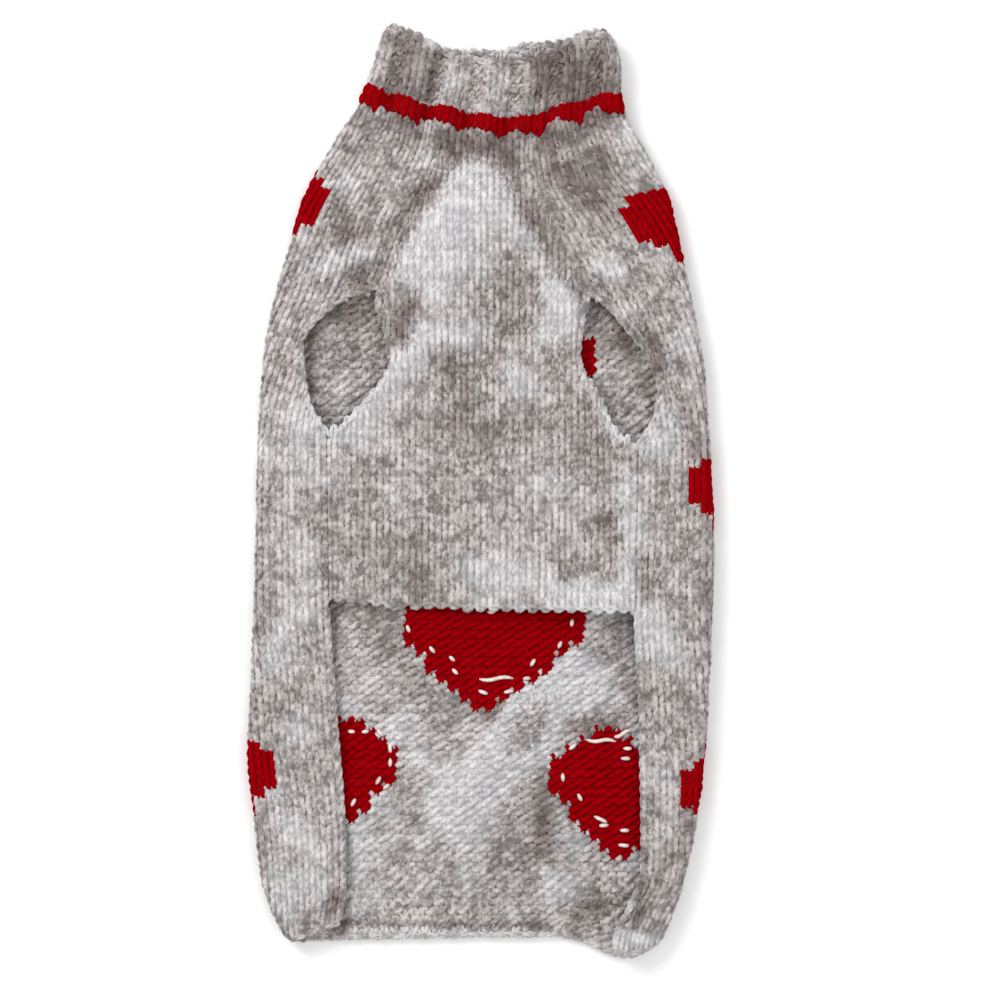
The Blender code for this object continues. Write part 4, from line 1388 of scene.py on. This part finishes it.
def matted_wool_and_shade_group():
    """The colour of wool that is matted in places and open in others, darker there as painted
    shade.
    """
    tree, given, result = new_group(
        "matted_wool_and_shade", ("Matted", "Open"), ("Painted shading",), {"Colour": "NodeSocketColor"}
    )
    share = soft_step(tree, noise(tree, MATS_TO_METRE, roughness=0.6), MATTED)
    colour = tint(tree, "MIX", share, given["Open"], given["Matted"])
    feed(tree, result["Colour"], use_group(tree, SWELL_LIGHT_AND_SHADE, colour, given["Painted shading"])["Colour"])
    return tree


SPUN_YARN = spun_yarn_group()
MATTED_WOOL_AND_SHADE = matted_wool_and_shade_group()
TWIST = 1.8                   # turns of the plies round each other in a centimetre


def dull_material(name, roughness=0.95):
    """A material with a soft dull surface, and its shader's inputs."""
    material = bpy.data.materials.new(name)
    material.use_nodes = True
    shader = material.node_tree.nodes["Principled BSDF"].inputs
    shader["Roughness"].default_value = roughness
    return material, shader


def wool(name, pale, dark, fleck, marl, depth, uneven, painted_shading, sheen):
    """A wool yarn's material: the spun yarn's colours, painted shade and grooves on a soft shader.
    """
    material, shader = dull_material(name)
    tree = material.node_tree
    shader["Specular IOR Level"].default_value = 0.3 * sheen
    shader["Sheen Weight"].default_value = sheen
    shader["Sheen Roughness"].default_value = 0.7
    colours = (*pale, 1.0), (*dark, 1.0), (*fleck, 1.0)
    yarn = use_group(tree, SPUN_YARN, *colours, TWIST, marl, depth, uneven, painted_shading)
    feed(tree, shader["Base Color"], yarn["Colour"])
    bump = node(tree, "ShaderNodeBump")
    bump.inputs["Strength"].default_value = 0.4
    bump.inputs["Distance"].default_value = 0.0003
    feed(tree, bump.inputs["Height"], yarn["Height"])
    feed(tree, shader["Normal"], bump.outputs["Normal"])
    return material


def felted(name, matted, open_wool_shade, painted_shading):
    """The matted wool seen between the strands, painted darker as shade where it is open."""
    material, shader = dull_material(name)
    tree = material.node_tree
    shader["Specular IOR Level"].default_value = 0.1
    felt = use_group(tree, MATTED_WOOL_AND_SHADE, (*matted, 1.0), (*open_wool_shade, 1.0), painted_shading)
    feed(tree, shader["Base Color"], felt["Colour"])
    return material


GREY_WOOL = wool(
    "grey_marl_wool", (0.57, 0.525, 0.515), (0.125, 0.105, 0.10), (0.09, 0.07, 0.065),
    marl=0.10, depth=0.15, uneven=0.30, painted_shading=1.0, sheen=0.40,
)
RED_WOOL = wool(
    "red_wool", (0.31, 0.0, 0.003), (0.25, 0.0, 0.002), (0.20, 0.0, 0.002),
    marl=0.20, depth=0.30, uneven=0.10, painted_shading=0.0, sheen=0.0,
)
PALE_WOOL = wool(
    "pale_wool", (0.84, 0.74, 0.70), (0.62, 0.50, 0.46), (0.45, 0.30, 0.27),
    marl=0.30, depth=0.45, uneven=0.20, painted_shading=0.10, sheen=0.10,
)
GREY_FELT_AND_SHADE = felted("grey_felted_wool_and_shade", (0.47, 0.43, 0.415), (0.15, 0.125, 0.115), 1.0)
RED_FELT_AND_SHADE = felted("red_felted_wool_and_shade", (0.24, 0.0, 0.002), (0.16, 0.0, 0.001), 0.0)

# ---- backing cloths --------------------------------------------------------------------------
# The felted layer shows between the strands, its open patches painted dark as shade.
BACKING_OUT = 0.00062         # the felted layer in the knit, from the middle of the cloth out
BACKING_IN = 0.00030          # and in
EDGE_INSET = 0.0008           # it stops this far short of an open edge
SEWN_INSET = 0.00005          # and this far short of a seam
INSET_REACH = 0.004           # the change from one to the other takes this far
SEWN_UP_TO = 0.015            # the seams run from the belly's hem up to here
SEWN_AGAIN_FROM = 0.112       # and from here to the neck
BELLY_COLUMNS = 60
COLLAR_TOP = 0.98


def strip_faces(near_row, far_row, closed, flip):
    """Faces between two rows of corner numbers."""
    faces = []
    for k in range(len(near_row) if closed else len(near_row) - 1):
        after = (k + 1) % len(near_row)
        face = (near_row[k], near_row[after], far_row[after], far_row[k])
        faces.append(face[::-1] if flip else face)
    return faces


def backing(name, piece, rows, is_red, closed):
    """A thin closed cloth through rows of (across, along); is_red(row, column) marks its cells."""
    skins = ([], [])
    for across, along in rows:
        here, normal, _ = frame_at(piece, across, np.full(across.shape, along))
        skins[0].append(here + normal * BACKING_OUT + SHIFT)
        skins[1].append(here - normal * BACKING_IN + SHIFT)
    height = len(rows)
    width = len(rows[0][0])
    points = np.concatenate([np.concatenate(skin) for skin in skins])
    number = np.arange(2 * height * width).reshape(2, height, width)
    flip = piece.facing > 0.0
    faces = []
    red = []
    columns = width if closed else width - 1
    for row in range(height - 1):
        cells = [is_red(row, column) for column in range(columns)]
        faces += strip_faces(number[0, row], number[0, row + 1], closed, flip)
        faces += strip_faces(number[1, row], number[1, row + 1], closed, not flip)
        red += cells + cells
    for row, turn in ((0, not flip), (height - 1, flip)):
        faces += strip_faces(number[0, row], number[1, row], closed, turn)
        red += [is_red(min(row, height - 2), column) for column in range(columns)]
    if not closed:
        for column, turn in ((0, flip), (width - 1, not flip)):
            faces += strip_faces(number[0, :, column], number[1, :, column], False, turn)
            red += [is_red(row, min(column, width - 2)) for row in range(height - 1)]
    mesh = new_mesh(name, points, np.array(faces))
    mesh.materials.append(GREY_FELT_AND_SHADE)
    mesh.materials.append(RED_FELT_AND_SHADE)
    mesh.polygons.foreach_set("material_index", [int(cell) for cell in red])
    add_mark(mesh, "relief_shading", relief_shading(points - SHIFT))
    return add_object(name, mesh)


def cloth_inset(y):
    """The felted layers stop short of open edges and meet in the seams."""
    sewn = ease((y - BELLY_HEM_Y) / INSET_REACH) * (1.0 - ease((y - SEWN_UP_TO) / INSET_REACH))
    sewn += ease((y - SEWN_AGAIN_FROM) / INSET_REACH)
    return blend(EDGE_INSET, SEWN_INSET, sewn)


def cloth_rows(bottom, count):
    """The y of each row of a cloth's corners, from just above its hem to the neck."""
    return [blend(bottom + EDGE_INSET, NECK_Y, row / count) for row in range(count + 1)]


back_rows = []
for y in cloth_rows(HEM_Y, ROWS):
    low, high = back_edges(y)
    inset = cloth_inset(y) / back_lengths(y)[3]
    back_rows.append((np.linspace(low + inset, high - inset, 2 * WALES + 1), y))


def back_is_red(row, column):
    across = 0.5 * (back_rows[row][0][column] + back_rows[row][0][column + 1])
    return (int(across * WALES), row) in RED


belly_rows = []
for y in cloth_rows(BELLY_HEM_Y, BELLY_ROWS):
    low, high = belly_edge(LEFT, y) + cloth_inset(y), belly_edge(RIGHT, y) - cloth_inset(y)
    belly_rows.append((np.linspace(low, high, BELLY_COLUMNS + 1), y))

collar_rows = []
for row in range(2 * COLLAR_ROWS + 1):
    rise = COLLAR_TOP * row / (2 * COLLAR_ROWS)
    collar_rows.append((np.arange(RIB_SAMPLES) / RIB_SAMPLES, rise))

back_cloth = backing("back_cloth", BACK, back_rows, back_is_red, False)
belly_cloth = backing("belly_cloth", BELLY, belly_rows, lambda row, column: False, False)
collar_cloth = backing(
    "collar_cloth", COLLAR, collar_rows, lambda row, column: row < 2 * STRIPE_ROWS, True
)

WOOLS = {"hearts_yarn": RED_WOOL, "stripe_yarn": RED_WOOL, "carried_yarn": PALE_WOOL}
pieces = {}
for name, yarn in skeins.items():
    wool_of = WOOLS.get(name, GREY_WOOL)
    pieces[name] = yarn.wind(name, wool_of)
    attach(pieces[name], "root")

for cloth, panel in (
    (back_cloth, "back_panel"),
    (belly_cloth, "belly_panel"),
    (collar_cloth, "collar"),
):
    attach(cloth, "root")
    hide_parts(panel)

# ---- floor, lights and camera ----------------------------------------------------------------
FLOOR_HALF = 3.0
FLOOR_Z = -0.0008             # just below the lowest loops
VIEW_WIDTH = 0.500            # metres across the view, at this height
VIEW_Z = 0.008
VIEW_MIDDLE = (0.0095, -0.0035)
CAMERA_HEIGHT = 2.5
SENSOR = 36.0


def pale_floor():
    mesh = bpy.data.meshes.new("floor")
    corners = [(-1, -1), (1, -1), (1, 1), (-1, 1)]
    mesh.from_pydata([(FLOOR_HALF * x, FLOOR_HALF * y, 0.0) for x, y in corners], [], [range(4)])
    material, shader = dull_material("pale_floor", 0.9)
    shader["Base Color"].default_value = (0.93, 0.93, 0.93, 1.0)
    mesh.materials.append(material)
    board = add_object("floor", mesh)
    board.location.z = FLOOR_Z


def soft_light(name, place, size, power):
    light = bpy.data.lights.new(name, "AREA")
    light.size = size
    light.energy = power
    lamp = add_object(name, light)
    lamp.location = place
    lamp.rotation_euler = (-Vector(place)).to_track_quat("-Z", "Y").to_euler()


def studio_sky(strength):
    world = bpy.data.worlds.new("studio")
    world.use_nodes = True
    background = world.node_tree.nodes["Background"].inputs
    background["Color"].default_value = (1.0, 1.0, 1.0, 1.0)
    background["Strength"].default_value = strength
    bpy.context.scene.world = world


def camera_above():
    lens = bpy.data.cameras.new("camera")
    lens.sensor_width = SENSOR
    lens.lens = SENSOR * (CAMERA_HEIGHT - VIEW_Z) / VIEW_WIDTH
    camera = add_object("camera", lens)
    camera.location = (VIEW_MIDDLE[0] + SHIFT[0], VIEW_MIDDLE[1] + SHIFT[1], CAMERA_HEIGHT)
    bpy.context.scene.camera = camera


pale_floor()
soft_light("window", (-0.95, 0.95, 1.05), size=0.90, power=20.0)
soft_light("fill", (0.9, -0.5, 1.5), size=1.6, power=9.0)
studio_sky(0.74)
bpy.context.scene.view_settings.view_transform = "Standard"
camera_above()
